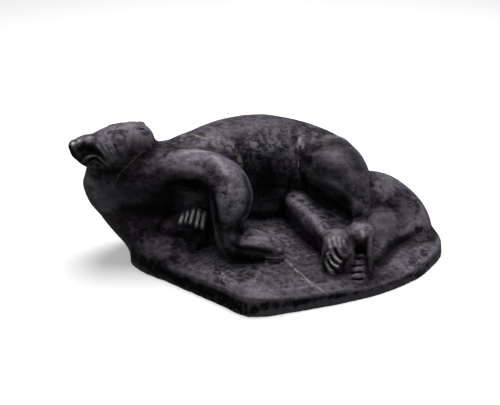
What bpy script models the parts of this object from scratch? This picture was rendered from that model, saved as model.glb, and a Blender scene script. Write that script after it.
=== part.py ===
"""An otter at rest on a slab, carved from one block of soapstone.

The otter lies on the slab with its chest leaning out over one end and its nose in the air. Its back is arched,
its four feet are gathered on the slab in front of it, and its tail curls round the other end.
The whole carving is one piece of stone.

The pose is a free form, so it is written in shares of the carving's length: 230 shares from the nose to the
far end of the slab. X runs along the carving from the nose to the tail, Y runs away from the otter's feet,
and Z is up from the underside of the slab.
"""

import math

import bmesh
import bpy
import numpy as np
from mathutils import Euler, Matrix, Vector
from mathutils.bvhtree import BVHTree

# Driving sizes, in metres
CARVING_LENGTH = 0.230
BASE_EDGE_HEIGHT = 0.012
CLAW_CUT_WIDTH = 0.0018
CLAW_CUT_DEPTH = 0.0013

# The pose is written in shares of the length, the origin is on the ground under the middle of the carving, and
# what stands on the slab goes up with the slab's edge
SHARE = CARVING_LENGTH / 230
EDGE_SHARES = 12
MIDDLE_SHARES = (7.5, -4.5)
LIFT = BASE_EDGE_HEIGHT - EDGE_SHARES * SHARE

# The fineness of the stone's skin, and how many facets are kept of it before the underside is cut
GRAIN = CARVING_LENGTH / 280
MOST_TRIANGLES = 10800
SECTION_SIDES = 28
STEPS_BETWEEN_STATIONS = 6

STONE_COLOUR = (0.055, 0.05, 0.062, 1)
STONE_ROUGHNESS = 0.36


def at(x, y, z):
    """A point of the pose, in metres."""
    middle_x, middle_y = MIDDLE_SHARES
    return Vector(((x - middle_x) * SHARE, (y - middle_y) * SHARE, z * SHARE + LIFT))


def smooth_through(stations, steps=STEPS_BETWEEN_STATIONS):
    """Rows of numbers on a smooth curve through the given rows."""
    rows = np.array(stations, float)
    before = np.vstack([2 * rows[0] - rows[1], rows[:-1]])
    after = np.vstack([rows[1:], 2 * rows[-1] - rows[-2]])
    slopes = (after - before) / 2
    result = []
    for start, end, leaving, arriving in zip(rows[:-1], rows[1:], slopes[:-1], slopes[1:]):
        for t in np.arange(steps) / steps:
            result.append(
                (2 * t**3 - 3 * t**2 + 1) * start
                + (t**3 - 2 * t**2 + t) * leaving
                + (3 * t**2 - 2 * t**3) * end
                + (t**3 - t**2) * arriving
            )
    result.append(rows[-1])
    return np.array(result)


def limb(stations, up=(0, 0, 1), squareness=2):
    """A form through stations of (x, y, z, half width, half height), with domed ends. Its section is an ellipse,
    and squarer with a squareness above 2."""
    rows = smooth_through(stations)
    centres = [at(*row[:3]) for row in rows]
    radii = [(row[3] * SHARE, row[4] * SHARE) for row in rows]
    frames = []
    for index, centre in enumerate(centres):
        ahead = centres[min(index + 1, len(centres) - 1)]
        behind = centres[max(index - 1, 0)]
        along = (ahead - behind).normalized()
        side = along.cross(Vector(up)).normalized()
        frames.append((centre, along, side, side.cross(along)))
    sections = []
    for turn in np.radians((78, 52, 26)):
        sections.append((0, -math.sin(turn), math.cos(turn)))
    sections += [(index, 0, 1) for index in range(len(centres))]
    for turn in np.radians((26, 52, 78)):
        sections.append((-1, math.sin(turn), math.cos(turn)))
    bm = bmesh.new()
    rings = []
    for index, reach, narrowing in sections:
        centre, along, side, upward = frames[index]
        half_width, half_height = radii[index]
        dome = min(half_width, half_height)
        middle = centre + along * reach * dome
        ring = []
        for angle in np.linspace(0, 2 * math.pi, SECTION_SIDES, endpoint=False):
            sideways = math.copysign(abs(math.cos(angle)) ** (2 / squareness), math.cos(angle))
            upwards = math.copysign(abs(math.sin(angle)) ** (2 / squareness), math.sin(angle))
            across = side * half_width * sideways + upward * half_height * upwards
            ring.append(bm.verts.new(middle + across * narrowing))
        rings.append(ring)
    for ring, following in zip(rings[:-1], rings[1:]):
        for corner in range(SECTION_SIDES):
            beside = (corner + 1) % SECTION_SIDES
            bm.faces.new((ring[corner], ring[beside], following[beside], following[corner]))
    bm.faces.new(rings[0])
    bm.faces.new(rings[-1])
    bmesh.ops.recalc_face_normals(bm, faces=bm.faces)
    return bm


def boulder(centre, radii, turn=(0, 0, 0)):
    """An egg-shaped form with three half sizes, turned by degrees about X, Y and Z."""
    bm = bmesh.new()
    rotation = Euler([math.radians(angle) for angle in turn]).to_quaternion()
    size = Vector(radii) * SHARE
    bmesh.ops.create_icosphere(bm, subdivisions=4, radius=1, matrix=Matrix.LocRotScale(at(*centre), rotation, size))
    return bm


# The slab: its outline on the ground as (x, y, height of its upper edge), from the front corner round to the
# front corner again
SLAB_OUTLINE = (
    (-1, -75.4, 12),
    (9, -74.8, 11.2),
    (28, -69.4, 9.4),
    (52, -61.5, 8.5),
    (76, -51.2, 6.2),
    (99.5, -35, 6.8),
    (114, -17, 7.4),
    (121.6, -2, 8),
    (122, 14, 8.6),
    (113, 40, 10),
    (88, 58, 11),
    (52, 65, 12),
    (12, 66, 12),
    (-22, 60, 12),
    (-50, 48, 12),
    (-67, 28, 13),
    (-73, 5, 14),
    (-70, -14.5, 13),
    (-59.5, -28.5, 11.5),
    (-42, -43.5, 10.6),
    (-17, -63.2, 11.7),
    (-8, -71.2, 11.8),
    (-1, -75.4, 12),
)
SLAB_HEART = (18, 6)
SLAB_CROWN = 21
EDGE_WEAR = 0.9


def slab():
    """The slab that the otter lies on, whose top rises from a cut edge towards the belly."""
    outline = smooth_through(SLAB_OUTLINE, 5)[:-1]
    heart = np.array(SLAB_HEART)
    ways = outline[:, :2] - heart
    lengths = np.linalg.norm(ways, axis=1, keepdims=True)
    edge = outline[:, 2]
    levels = [(np.ones_like(lengths), np.full_like(edge, -4)), (np.ones_like(lengths), edge * 0)]
    for inset, rise in ((EDGE_WEAR, 0.75), (2.5 * EDGE_WEAR, 0.95)):
        levels.append((1 - inset / lengths, edge * rise))
    for share in (0.9, 0.75, 0.6, 0.4, 0.2):
        rising = (1 - share) ** 0.8
        levels.append((np.full_like(lengths, share), edge * (1 - rising) + SLAB_CROWN * rising))
    bm = bmesh.new()
    rings = []
    for reach, height in levels:
        places = heart + ways * reach
        rings.append([bm.verts.new(at(*place, z)) for place, z in zip(places, height)])
    for ring, following in zip(rings[:-1], rings[1:]):
        for corner in range(len(ring)):
            beside = (corner + 1) % len(ring)
            bm.faces.new((ring[corner], ring[beside], following[beside], following[corner]))
    bm.faces.new(rings[0])
    bm.faces.new(rings[-1])
    bmesh.ops.recalc_face_normals(bm, faces=bm.faces)
    return bm


# Trunk and tail
def trunk():
    return limb(
        (
            (-62, 3, 58, 16, 16),
            (-49, 8, 52, 20, 22),
            (-37, 14, 50, 23, 25),
            (-24, 20, 49.5, 25, 28.5),
            (-12, 27, 49, 26, 30.5),
            (6, 34, 48, 27, 31),
            (25, 37, 45, 27, 29.5),
            (39, 36, 42, 26, 28),
            (50, 34, 39, 24, 26),
            (58, 31, 36, 20, 22),
        )
    )


def breast():
    """The chest wall that closes the space between the forelegs."""
    return boulder((-40, 1, 41), (24, 20, 25))


def belly():
    """The low flank between the elbow and the hind legs."""
    return boulder((6, 23, 33), (34, 17, 17))


def chest():
    """The neck and chest as a column that leans out over the slab's end."""
    return limb(
        (
            (-70.5, 0, 58, 31.5, 17),
            (-69.5, 0, 53, 34, 21),
            (-65.5, 2, 45, 33.5, 22),
            (-60.2, 4, 34, 32.8, 23),
            (-53, 6, 20, 31, 25),
            (-45.8, 6, 6, 32.3, 27),
            (-41, 6, -4, 31, 28),
        ),
        up=(0, 1, 0),
    )


def apron():
    """The stone that runs down from the chest to the slab's left front edge."""
    return limb(
        (
            (-62, -10, 2, 13.5, 27),
            (-55, -16, 2, 14.5, 25),
            (-45, -23, 2, 14, 19),
            (-40, -27, 2, 12, 14),
        )
    )


def tail():
    coil = limb(
        (
            (66, 34, 22, 20, 18),
            (84, 36, 18.5, 21, 19),
            (98, 29, 13, 18, 16),
            (104, 14, 9, 13.5, 12),
            (95, 1, 7.5, 11.5, 10),
            (87, -7, 6.5, 9.5, 8.5),
            (78, -19, 5, 7.5, 7.5),
            (72, -33, 4, 4.5, 6),
        )
    )
    return [coil, boulder((85, 14, 8), (19, 25, 15))]


# Near foreleg: the shoulder, a bent elbow and a paw laid along the slab
def near_arm():
    return limb(
        (
            (-64, -5, 60, 12, 10),
            (-52, -6, 61.5, 12.5, 9.5),
            (-38, -6, 63, 12.5, 9.5),
            (-25, -7, 61, 12.5, 10),
            (-14, -13, 55.5, 12, 11.5),
            (-9, -20, 49, 11, 11),
            (-9, -24.5, 43.5, 9.5, 9.5),
        )
    )


def near_forearm():
    """The flat of the forearm, which faces the carving's left front."""
    return limb(
        (
            (-16.5, -12, 55, 10, 7),
            (-16.5, -21, 48, 9.5, 5.5),
            (-15.5, -26, 40, 9, 5),
            (-14, -30, 32, 9, 5),
            (-11.5, -32.5, 24, 9, 6.5),
            (-8, -33, 17, 9, 8),
        ),
        up=(1, 1, 0),
        squareness=3,
    )


def elbow_web():
    """The stone left between the elbow and the paw."""
    return limb(
        (
            (-10, -19, 42, 6.5, 8),
            (-11, -21.5, 32, 7, 8),
            (-10, -24, 22, 8, 9),
        ),
        up=(0, 1, 0),
    )


def near_paw():
    return limb(
        (
            (-8, -31.5, 18, 10, 10.5),
            (-1, -31.2, 18.4, 11.6, 11),
            (5, -31, 17.6, 11.8, 10.6),
            (11, -31, 16, 11.4, 9.4),
        ),
        squareness=4,
    )


def far_arm():
    return limb(
        (
            (-64, -6, 17, 8, 8),
            (-56, -12, 22, 7, 7),
            (-46, -15.5, 28, 7, 7),
            (-38, -16.5, 32, 8, 7.5),
            (-33.5, -17, 33, 8, 7.5),
        )
    )


def far_paw_block():
    """The stone left standing under the far forepaw."""
    return limb(
        (
            (-35, -12, 30, 8.5, 9.5),
            (-37, -12, 22, 11, 12),
            (-42, -13, 12, 15.5, 17),
            (-46, -14, 0, 20, 23),
        ),
        up=(0, 1, 0),
    )


# Hind legs
def near_thigh():
    return limb(
        (
            (50, 24, 52, 19, 18),
            (53, 15, 47.5, 20.5, 22),
            (56.5, 6, 42, 19, 20),
            (60, -2, 35.5, 15.5, 15),
            (61.5, -6, 32, 13, 12.5),
        )
    )


def near_shin():
    return limb(
        (
            (61, 0, 28, 10, 10),
            (64, -12, 24, 9, 9),
            (65.5, -22, 25, 8.5, 9.5),
            (65.3, -28.5, 26.6, 8, 9.4),
        ),
        up=(1, 0, 0),
    )


def behind_near_foot():
    """The flat sheet of stone left standing behind the near hind foot."""
    return limb(
        (
            (70.4, -30, 25, 8, 2.8),
            (70.6, -34.5, 16, 9, 2.4),
            (70.4, -37.5, 6, 9, 2.6),
        ),
        up=(1, 0, 0),
    )


def between_feet():
    """The stone left standing between the two hind feet."""
    return limb(
        (
            (58, -30.5, 26, 5.5, 5.5),
            (57, -38, 14, 5.5, 6.5),
            (57, -39.5, 5, 6, 7),
        ),
        up=(0, 1, 0),
    )


def near_foot():
    return limb(
        (
            (63.5, -28, 11.5, 6.5, 6.5),
            (63.5, -38, 9.5, 6.5, 7),
            (63, -46, 6.5, 6.5, 6),
        )
    )


def far_shin():
    return limb(
        (
            (31, 13, 28, 10.5, 10),
            (35, 0, 27, 11, 9.5),
            (42, -12, 25, 12, 9.5),
            (49, -23, 23.5, 11, 9),
            (52, -32, 24, 9, 8.5),
        ),
        squareness=3,
    )


def between_shins():
    """The stone that closes the space under the thigh."""
    return boulder((56, -10, 23), (11, 14, 11))


def far_foot():
    return limb(
        (
            (51, -33, 25, 8.5, 8.5),
            (50.5, -35.5, 18, 8.5, 9.5),
            (50, -37, 8, 8.5, 10),
        ),
        up=(0, 1, 0),
    )


# The head has its own frame: forward along the nose, near towards the feet's side of the carving, and up
HEAD_CENTRE = (-82, -3, 73.5)
HEAD_YAW = 14
HEAD_PITCH = -1
HEAD_ROLL = 5


def head_matrix():
    yaw = Matrix.Rotation(math.radians(HEAD_YAW), 3, "Z")
    pitch = Matrix.Rotation(math.radians(-HEAD_PITCH), 3, "Y")
    roll = Matrix.Rotation(math.radians(HEAD_ROLL), 3, "X")
    facing = Matrix(((-1, 0, 0), (0, -1, 0), (0, 0, 1)))
    return yaw @ facing @ pitch @ roll


def in_head(forward, near, upward):
    place = Vector(HEAD_CENTRE) + head_matrix() @ Vector((forward, near, upward))
    return tuple(place)


def head_boulder(centre, radii, turn=(0, 0, 0)):
    """An egg-shaped form placed in the head's frame."""
    bm = bmesh.new()
    rotation = head_matrix() @ Euler([math.radians(angle) for angle in turn]).to_matrix()
    size = Vector(radii) * SHARE
    place = at(*in_head(*centre))
    bmesh.ops.create_icosphere(
        bm, subdivisions=4, radius=1, matrix=Matrix.LocRotScale(place, rotation.to_quaternion(), size)
    )
    return bm


def skull():
    return [
        head_boulder((-12, 0, 2.5), (13.5, 15.5, 11.5)),
        head_boulder((-2, 0, 0.5), (20, 16.5, 12.3), (0, 7, 0)),
        head_boulder((6, 0, -3.5), (17, 13, 9)),
    ]


def muzzle():
    return [
        head_boulder((13.8, 0, 0.6), (12, 9.5, 8.6)),
        head_boulder((7, 0, -7.3), (12.3, 9, 5.6)),
    ]


def nose():
    return [head_boulder((22.4, 0, 2.8), (3.8, 5.4, 4)), head_boulder((17.6, 0, 5), (3, 4.6, 2.9))]


def ears_and_eyes():
    forms = []
    for side in (1, -1):
        forms.append(head_boulder((-17.4, 6.8 * side, 9.4), (3.8, 3.3, 2.9)))
        forms.append(head_boulder((-2.2, 11.3 * side, 7), (3.3, 1.7, 2.7)))
    return forms


# Toes: the rows of each foot from its knuckles to its tips
NEAR_FOREPAW_TOES = (
    ((9, -39.2, 22.4), (17, -37.4, 21.2)),
    ((9, -39.8, 18.6), (17.8, -38.2, 17.6)),
    ((9, -40, 14.8), (17.8, -38.6, 13.8)),
    ((9, -40, 11.4), (17, -38.6, 11)),
)
FAR_FOREPAW_TOES = (
    ((-40.2, -20.8, 36.2), (-41.8, -23.6, 33)),
    ((-37.2, -20, 37.8), (-38.6, -24, 34)),
    ((-33.8, -18.4, 39), (-35.6, -24, 33)),
    ((-30.4, -18, 38.4), (-32, -24.6, 31)),
    ((-27.2, -17.2, 36.6), (-28.8, -23.4, 29.4)),
)
FAR_HIND_TOES = (
    ((50.6, -40.4, 26.5), (52.8, -42.8, 23), (55.6, -42.8, 20.6)),
    ((47.6, -40.8, 25), (49.8, -43.4, 20), (52.8, -44, 18)),
    ((45.6, -42.4, 21.5), (48, -44.6, 16.7), (50.8, -45.1, 14.8)),
    ((43.8, -42.8, 18), (46.3, -45.2, 13.2), (49.4, -45.9, 11.5)),
)
NEAR_HIND_TOES = (
    ((66.5, -35.4, 16.6), (60.2, -35.4, 15.8)),
    ((66.5, -39.6, 13.8), (59.6, -39.6, 12.8)),
    ((66.5, -43.4, 11), (59.4, -43.4, 10)),
    ((66.5, -46.4, 8.2), (59.6, -46.4, 7.2)),
    ((66.5, -48.8, 5.2), (60, -48.8, 4.2)),
)


def toes(rows, radius):
    return [limb([(*point, radius, radius) for point in row]) for row in rows]


def toe_gaps(rows):
    """The lines midway between each toe and the next."""
    return [
        [[(a + b) / 2 for a, b in zip(*pair)] for pair in zip(row, beside)] for row, beside in zip(rows, rows[1:])
    ]


# The feet, as (toes, radius of a toe, how far the gaps between them lie in front of their middles)
FEET = (
    (NEAR_FOREPAW_TOES, 2.3, (0.3, -1.8, 0)),
    (FAR_FOREPAW_TOES, 1.9, (0, -1.2, 1)),
    (FAR_HIND_TOES, 1.8, (-0.4, -1.6, 0.6)),
    (NEAR_HIND_TOES, 2.2, (-0.5, -1, 2)),
)


# Cuts in both sides of the head, in its own frame, as paths
MOUTH = ((18.4, 4.6, -9), (17, 8, -5.6), (14.2, 10.4, -3.2), (11.4, 12, -3.6), (8.8, 12.8, -6.4), (6.6, 12, -9.6))
UPPER_LIP = (
    (20, 4.4, -6.6),
    (18.2, 7.2, -4),
    (16, 9, -2),
    (13.2, 11, -0.9),
    (10, 12.6, -1.6),
    (7.2, 13.4, -4.6),
    (5, 13, -8),
)
LOWER_JAW = ((16, 8.7, -7), (12.8, 11, -6.4), (9.5, 10.8, -9.4))
BESIDE_NOSE = ((19.8, 6.6, 3.4), (16, 8.8, 2.2), (12, 11, 0.4), (8.8, 13.2, -2.2))
EYE_RING = (
    (1.3, 12, 7.8),
    (0, 9.2, 10.2),
    (-3.2, 8.8, 10.8),
    (-5.8, 11.4, 9.2),
    (-5, 14, 6.2),
    (-1.8, 15, 4.6),
    (0.6, 14.2, 5.8),
)
BROW = ((2, 5, 11.6), (-3, 5.6, 12.4), (-8, 7, 12.4))
EAR_HOLLOW = ((-15.6, 7.2, 12.2), (-17.4, 8.4, 12), (-19.2, 7.6, 11.8))

# The same with their half widths and depths. A negative depth is a ridge
HEAD_CUTS = (
    (MOUTH, 1.6, 1.7),
    (UPPER_LIP, 1.5, -0.8),
    (LOWER_JAW, 2.6, 0.8),
    (BESIDE_NOSE, 5, 1.6),
    (EYE_RING, 1.5, 0.5),
    (BROW, 1.8, -0.6),
    (EAR_HOLLOW, 1.6, 1.5),
)


# Cuts in the body: under the tail, between the tail and the thigh, at the front of the thigh and over the near
# hind foot
BODY_CUTS = (
    (((114, 5.5, 15), (101, -5.5, 14), (90, -14, 12.5), (82, -24, 10), (74.5, -36, 8.5)), 6.5, 2.4),
    (((72, 14, 52), (74, 4, 40), (77, -5, 28), (79, -12, 20)), 4.5, 1.8),
    (((29, 22, 73), (31.5, 11, 63), (33.2, 6, 55)), 5, 1),
    (((60, -33.5, 21), (63.6, -35.5, 21.4), (66.4, -36, 21.2)), 3, 1.6),
)

# The legs are cut as a top plane and a side plane, which meet in a crest. The side plane turns under
ARM_CREST = (
    (-47, -17.8, 64.3),
    (-34, -18.6, 63),
    (-27.5, -19.5, 61.5),
    (-22.5, -25, 57),
    (-20, -31, 50.5),
    (-17, -34.7, 43.2),
    (-12.6, -33, 37),
)
UNDER_ARM = ((-42, -18, 56), (-32, -18.5, 54), (-25, -24, 48), (-23, -29, 41), (-21, -32, 33))
THIGH_CREST = (
    (35, 6, 53),
    (39.5, -0.5, 51.5),
    (47, -8, 50.5),
    (55, -11.7, 47.5),
    (62.5, -14.6, 41.5),
    (67, -15.5, 36),
)
UNDER_THIGH = ((37, 3, 45), (43, -6, 43), (50, -11, 40), (57, -15, 35), (63, -16.5, 30))
SHIN_CREST = ((21.4, 8.1, 34.5), (28.4, -2.9, 34.5), (35.2, -13.6, 33.2), (40.7, -24.7, 30.5), (44.6, -35, 28.7))
UNDER_SHIN = ((22, 2, 25), (28, -10, 24), (35, -20, 22), (40, -30, 19))
PAW_CREST = ((-7, -40.4, 27.5), (0, -40.8, 27.2), (6, -40.8, 26))
PLANES = (
    (ARM_CREST, 6, -2),
    (UNDER_ARM, 6, 1.6),
    (THIGH_CREST, 6, -2),
    (UNDER_THIGH, 6.5, 2.2),
    (SHIN_CREST, 4.5, -1.5),
    (UNDER_SHIN, 6, 1.5),
    (PAW_CREST, 2.4, -0.4),
)


def clear_scene():
    for old in list(bpy.data.objects):
        bpy.data.objects.remove(old)


def passes_for(reach):
    """How many rubs of half strength round the stone off over this reach, in shares."""
    return max(1, round((2 * reach * SHARE / GRAIN) ** 2))


def fuse(forms, reach):
    """One skin round all these overlapping forms, rubbed down over the given reach."""
    together = bpy.data.meshes.new("together")
    bm = bmesh.new()
    for form in forms:
        form.to_mesh(together)
        bm.from_mesh(together)
        form.free()
    bm.to_mesh(together)
    bm.free()
    block = bpy.data.objects.new("block", together)
    bpy.context.scene.collection.objects.link(block)
    skin = block.modifiers.new("Skin", "REMESH")
    skin.mode = "VOXEL"
    skin.voxel_size = GRAIN
    rub = block.modifiers.new("Rub", "SMOOTH")
    rub.factor = 0.5
    rub.iterations = passes_for(reach)
    graph = bpy.context.evaluated_depsgraph_get()
    fused = bmesh.new()
    fused.from_object(block, graph)
    bpy.data.objects.remove(block)
    bpy.data.meshes.remove(together)
    return fused


class Chisel:
    """Cuts along lines in the stone's skin. Every cut is measured on the skin as it was before the first one."""

    def __init__(self, stone):
        stone.normal_update()
        self.stone = stone
        self.points = np.array([vertex.co for vertex in stone.verts])
        self.normals = np.array([vertex.normal for vertex in stone.verts])
        self.sinking = np.zeros(len(self.points))
        self.tree = BVHTree.FromBMesh(stone)

    def lay(self, path):
        """A smooth line through the path, laid on the stone."""
        places = [at(*row) for row in smooth_through(path, 5)]
        return np.array([self.tree.find_nearest(place)[0] for place in places])

    def cut(self, path, width, depth):
        """Sinks the stone along a path, and less towards its two ends. A negative depth raises a ridge."""
        line = self.lay(path)
        starts, ways = line[:-1], np.diff(line, axis=0)
        reach = width * SHARE
        inside = (self.points > line.min(axis=0) - 2 * reach) & (self.points < line.max(axis=0) + 2 * reach)
        close = inside.all(axis=1)
        offsets = self.points[close, None, :] - starts
        share = np.clip((offsets * ways).sum(axis=2) / (ways * ways).sum(axis=1), 0, 1)
        gaps = np.linalg.norm(offsets - share[..., None] * ways, axis=2)
        nearest = gaps.argmin(axis=1)
        rows = np.arange(len(nearest))
        along = (nearest + share[rows, nearest]) / len(ways)
        fading = np.clip(np.minimum(along, 1 - along) * 6 + 0.25, 0, 1)
        self.sinking[close] += depth * SHARE * fading * np.exp(-2.5 * (gaps[rows, nearest] / reach) ** 2)

    def finish(self):
        """Moves the stone's skin to where the cuts have taken it."""
        moved = self.points - self.normals * self.sinking[:, None]
        for vertex, point in zip(self.stone.verts, moved):
            vertex.co = point


def carve_cuts(stone):
    """The cuts between the toes, those of the body, and those of the face on both sides of the head."""
    chisel = Chisel(stone)
    for rows, _, proud in FEET:
        for gap in toe_gaps(rows):
            path = [[value + step for value, step in zip(point, proud)] for point in gap]
            chisel.cut(path, CLAW_CUT_WIDTH / SHARE, CLAW_CUT_DEPTH / SHARE)
    for path, width, depth in BODY_CUTS + PLANES:
        chisel.cut(path, width, depth)
    for side in (1, -1):
        for path, width, depth in HEAD_CUTS:
            path = [in_head(forward, near * side, upward) for forward, near, upward in path]
            chisel.cut(path, width, depth)
    chisel.finish()


def carve():
    masses = [slab(), trunk(), breast(), belly(), chest(), apron(), near_thigh()] + tail() + skull()
    body = fuse(masses, 3.2)
    legs = [
        near_arm(),
        near_forearm(),
        elbow_web(),
        near_paw(),
        far_arm(),
        far_paw_block(),
        near_shin(),
        behind_near_foot(),
        near_foot(),
        between_feet(),
        far_shin(),
        between_shins(),
        far_foot(),
    ]
    body = fuse([body, slab()] + legs + muzzle(), 1.6)
    features = nose() + ears_and_eyes()
    for rows, radius, _ in FEET:
        features += toes(rows, radius)
    stone = fuse([body, slab()] + features, 0.6)
    carve_cuts(stone)
    return stone


def thin(bm, most):
    """The same skin with fewer facets."""
    mesh = bpy.data.meshes.new("thin")
    bmesh.ops.triangulate(bm, faces=bm.faces)
    bm.to_mesh(mesh)
    count = len(bm.faces)
    bm.free()
    block = bpy.data.objects.new("thin", mesh)
    bpy.context.scene.collection.objects.link(block)
    fewer = block.modifiers.new("Fewer", "DECIMATE")
    fewer.ratio = min(1, most / count)
    graph = bpy.context.evaluated_depsgraph_get()
    result = bmesh.new()
    result.from_object(block, graph)
    bpy.data.objects.remove(block)
    bpy.data.meshes.remove(mesh)
    return result


def cut_underside(bm):
    """Saws the block flat at the ground."""
    geometry = bm.verts[:] + bm.edges[:] + bm.faces[:]
    cut = bmesh.ops.bisect_plane(bm, geom=geometry, plane_co=(0, 0, 0), plane_no=(0, 0, -1), clear_outer=True)
    rim = [edge for edge in cut["geom_cut"] if isinstance(edge, bmesh.types.BMEdge)]
    bmesh.ops.contextual_create(bm, geom=rim)
    bmesh.ops.recalc_face_normals(bm, faces=bm.faces)
    bmesh.ops.triangulate(bm, faces=bm.faces)


def soapstone():
    """Dark grey stone with a plum tint, rubbed to a satin polish."""
    material = bpy.data.materials.new("soapstone")
    material.use_nodes = True
    shader = material.node_tree.nodes["Principled BSDF"]
    shader.inputs["Base Color"].default_value = STONE_COLOUR
    shader.inputs["Roughness"].default_value = STONE_ROUGHNESS
    shader.inputs["Metallic"].default_value = 0
    return material


def main():
    clear_scene()
    stone = thin(carve(), MOST_TRIANGLES)
    cut_underside(stone)
    mesh = bpy.data.meshes.new("otter")
    stone.to_mesh(mesh)
    stone.free()
    mesh.shade_smooth()
    mesh.set_sharp_from_angle(angle=math.radians(60))
    mesh.materials.append(soapstone())
    otter = bpy.data.objects.new("otter", mesh)
    bpy.context.scene.collection.objects.link(otter)


main()
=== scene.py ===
"""A soapstone otter carving: the polished stone with its veins and cuts, and a plain studio to see it in.

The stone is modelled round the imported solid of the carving, which is loaded first as a fixed frame. The pose
is a free form, so it is written in shares of the carving's length, as a carver would take it from a sketch: X
runs from the nose to the tail, Y away from the otter's feet, and Z up from the underside of the slab.
"""

import math

import bmesh
import bpy
import numpy as np
from bpy.props import FloatProperty, FloatVectorProperty, IntProperty, PointerProperty
from mathutils import Euler, Matrix, Vector, noise
from mathutils.bvhtree import BVHTree


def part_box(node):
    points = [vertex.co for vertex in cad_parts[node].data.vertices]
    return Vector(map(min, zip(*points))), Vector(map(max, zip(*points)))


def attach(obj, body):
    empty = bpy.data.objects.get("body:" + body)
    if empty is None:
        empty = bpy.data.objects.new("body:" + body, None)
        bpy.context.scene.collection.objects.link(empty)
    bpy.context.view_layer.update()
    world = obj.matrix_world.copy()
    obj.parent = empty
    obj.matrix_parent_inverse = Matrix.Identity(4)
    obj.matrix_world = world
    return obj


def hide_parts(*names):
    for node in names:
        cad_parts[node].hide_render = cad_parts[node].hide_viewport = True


bl_info = {
    "name": "Soapstone Otter Carving",
    "version": (1, 0, 0),
    "blender": (4, 5, 0),
    "location": "View3D > Sidebar > Otter",
    "description": "Carves a resting otter from one block of soapstone and lights it on a pale floor",
    "category": "Add Mesh",
}

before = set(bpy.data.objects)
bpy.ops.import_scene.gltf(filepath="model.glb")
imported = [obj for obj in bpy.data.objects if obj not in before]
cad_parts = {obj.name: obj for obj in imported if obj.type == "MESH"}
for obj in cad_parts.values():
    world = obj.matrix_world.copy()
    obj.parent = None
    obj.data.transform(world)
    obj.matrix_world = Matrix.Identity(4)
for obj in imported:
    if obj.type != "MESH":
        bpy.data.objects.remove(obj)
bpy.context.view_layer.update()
SOLID_LOW, SOLID_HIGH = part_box("otter")

# In shares: the length from the nose to the far end of the slab, the height of the slab's front corner, and
# the place that stands over the origin
POSE_LENGTH = 230.6
EDGE_SHARES = 12
MIDDLE_SHARES = (7.5, -4.5)

# How finely forms and lines are worked out, and the turns of a limb's domed ends, in degrees
SECTION_SIDES = 32
EGG_FINENESS = 4
STATION_STEPS = 6
LINE_STEPS = 5
DOME_TURNS = (78, 52, 26)

# The ways in which the heights of a limb's sections can point
UP = (0, 0, 1)
AWAY = (0, 1, 0)
ALONG = (1, 0, 0)
FACING_LEFT = (1, 1, 0)

# The slab: its outline on the ground as (x, y, height of its upper edge), from the front corner round to the
# front corner again
SLAB_OUTLINE = (
    (-1, -75.4, 12), (9, -74.8, 11.2), (28, -69.4, 9.4), (52, -61.5, 8.5), (76, -51.2, 6.2), (99.5, -35, 6.8),
    (114, -17, 7.4), (121.6, -2, 8), (122, 14, 8.6), (113, 40, 10), (88, 58, 11), (52, 65, 12), (12, 66, 12),
    (-22, 60, 12), (-50, 48, 12), (-67, 28, 13), (-73, 5, 14), (-70, -14.5, 13), (-59.5, -28.5, 11.5),
    (-42, -43.5, 10.6), (-17, -63.2, 11.7), (-8, -71.2, 11.8), (-1, -75.4, 12),
)

# Its upper edge is worn back, as (how far in, share of the edge's height). From there its top rises in a curve
# to the crown over its heart, with rings at these shares of the way. What lies below the ground is sawn off
WORN_EDGE = ((0.9, 0.75), (2.25, 0.95))
SLAB_HEART = (18, 6)
SLAB_CROWN = 21
SLAB_RINGS = (0.9, 0.75, 0.6, 0.4, 0.2)
SLAB_CURVE = 0.8
SLAB_SOLE = -4

# Each limb is a row of stations (x, y, z, half width, half height)
TRUNK = (
    (-62, 3, 58, 16, 16), (-49, 8, 52, 20, 22), (-37, 14, 50, 23, 25), (-24, 20, 49.5, 25, 28.5),
    (-12, 27, 49, 26, 30.5), (6, 34, 48, 27, 31), (25, 37, 45, 27, 29.5), (39, 36, 42, 26, 28),
    (50, 34, 39, 24, 26), (58, 31, 36, 20, 22),
)
CHEST = (
    (-70.5, 0, 58, 31.5, 17), (-69.5, 0, 53, 34, 21), (-65.5, 2, 45, 33.5, 22), (-60.2, 4, 34, 32.8, 23),
    (-53, 6, 20, 31, 25), (-45.8, 6, 6, 32.3, 27), (-41, 6, -4, 31, 28),
)
APRON = ((-62, -10, 2, 13.5, 27), (-55, -16, 2, 14.5, 25), (-45, -23, 2, 14, 19), (-40, -27, 2, 12, 14))
THIGH = (
    (50, 24, 52, 19, 18), (53, 15, 47.5, 20.5, 22), (56.5, 6, 42, 19, 20), (60, -2, 35.5, 15.5, 15),
    (61.5, -6, 32, 13, 12.5),
)
TAIL = (
    (66, 34, 22, 20, 18), (84, 36, 18.5, 21, 19), (98, 29, 13, 18, 16), (104, 14, 9, 13.5, 12),
    (95, 1, 7.5, 11.5, 10), (87, -7, 6.5, 9.5, 8.5), (78, -19, 5, 7.5, 7.5), (72, -33, 4, 4.5, 6),
)
NEAR_ARM = (
    (-64, -5, 60, 12, 10), (-52, -6, 61.5, 12.5, 9.5), (-38, -6, 63, 12.5, 9.5), (-25, -7, 61, 12.5, 10),
    (-14, -13, 55.5, 12, 11.5), (-9, -20, 49, 11, 11), (-9, -24.5, 43.5, 9.5, 9.5),
)
NEAR_FOREARM = (
    (-16.5, -12, 55, 10, 7), (-16.5, -21, 48, 9.5, 5.5), (-15.5, -26, 40, 9, 5), (-14, -30, 32, 9, 5),
    (-11.5, -32.5, 24, 9, 6.5), (-8, -33, 17, 9, 8),
)
ELBOW_WEB = ((-10, -19, 42, 6.5, 8), (-11, -21.5, 32, 7, 8), (-10, -24, 22, 8, 9))
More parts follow.
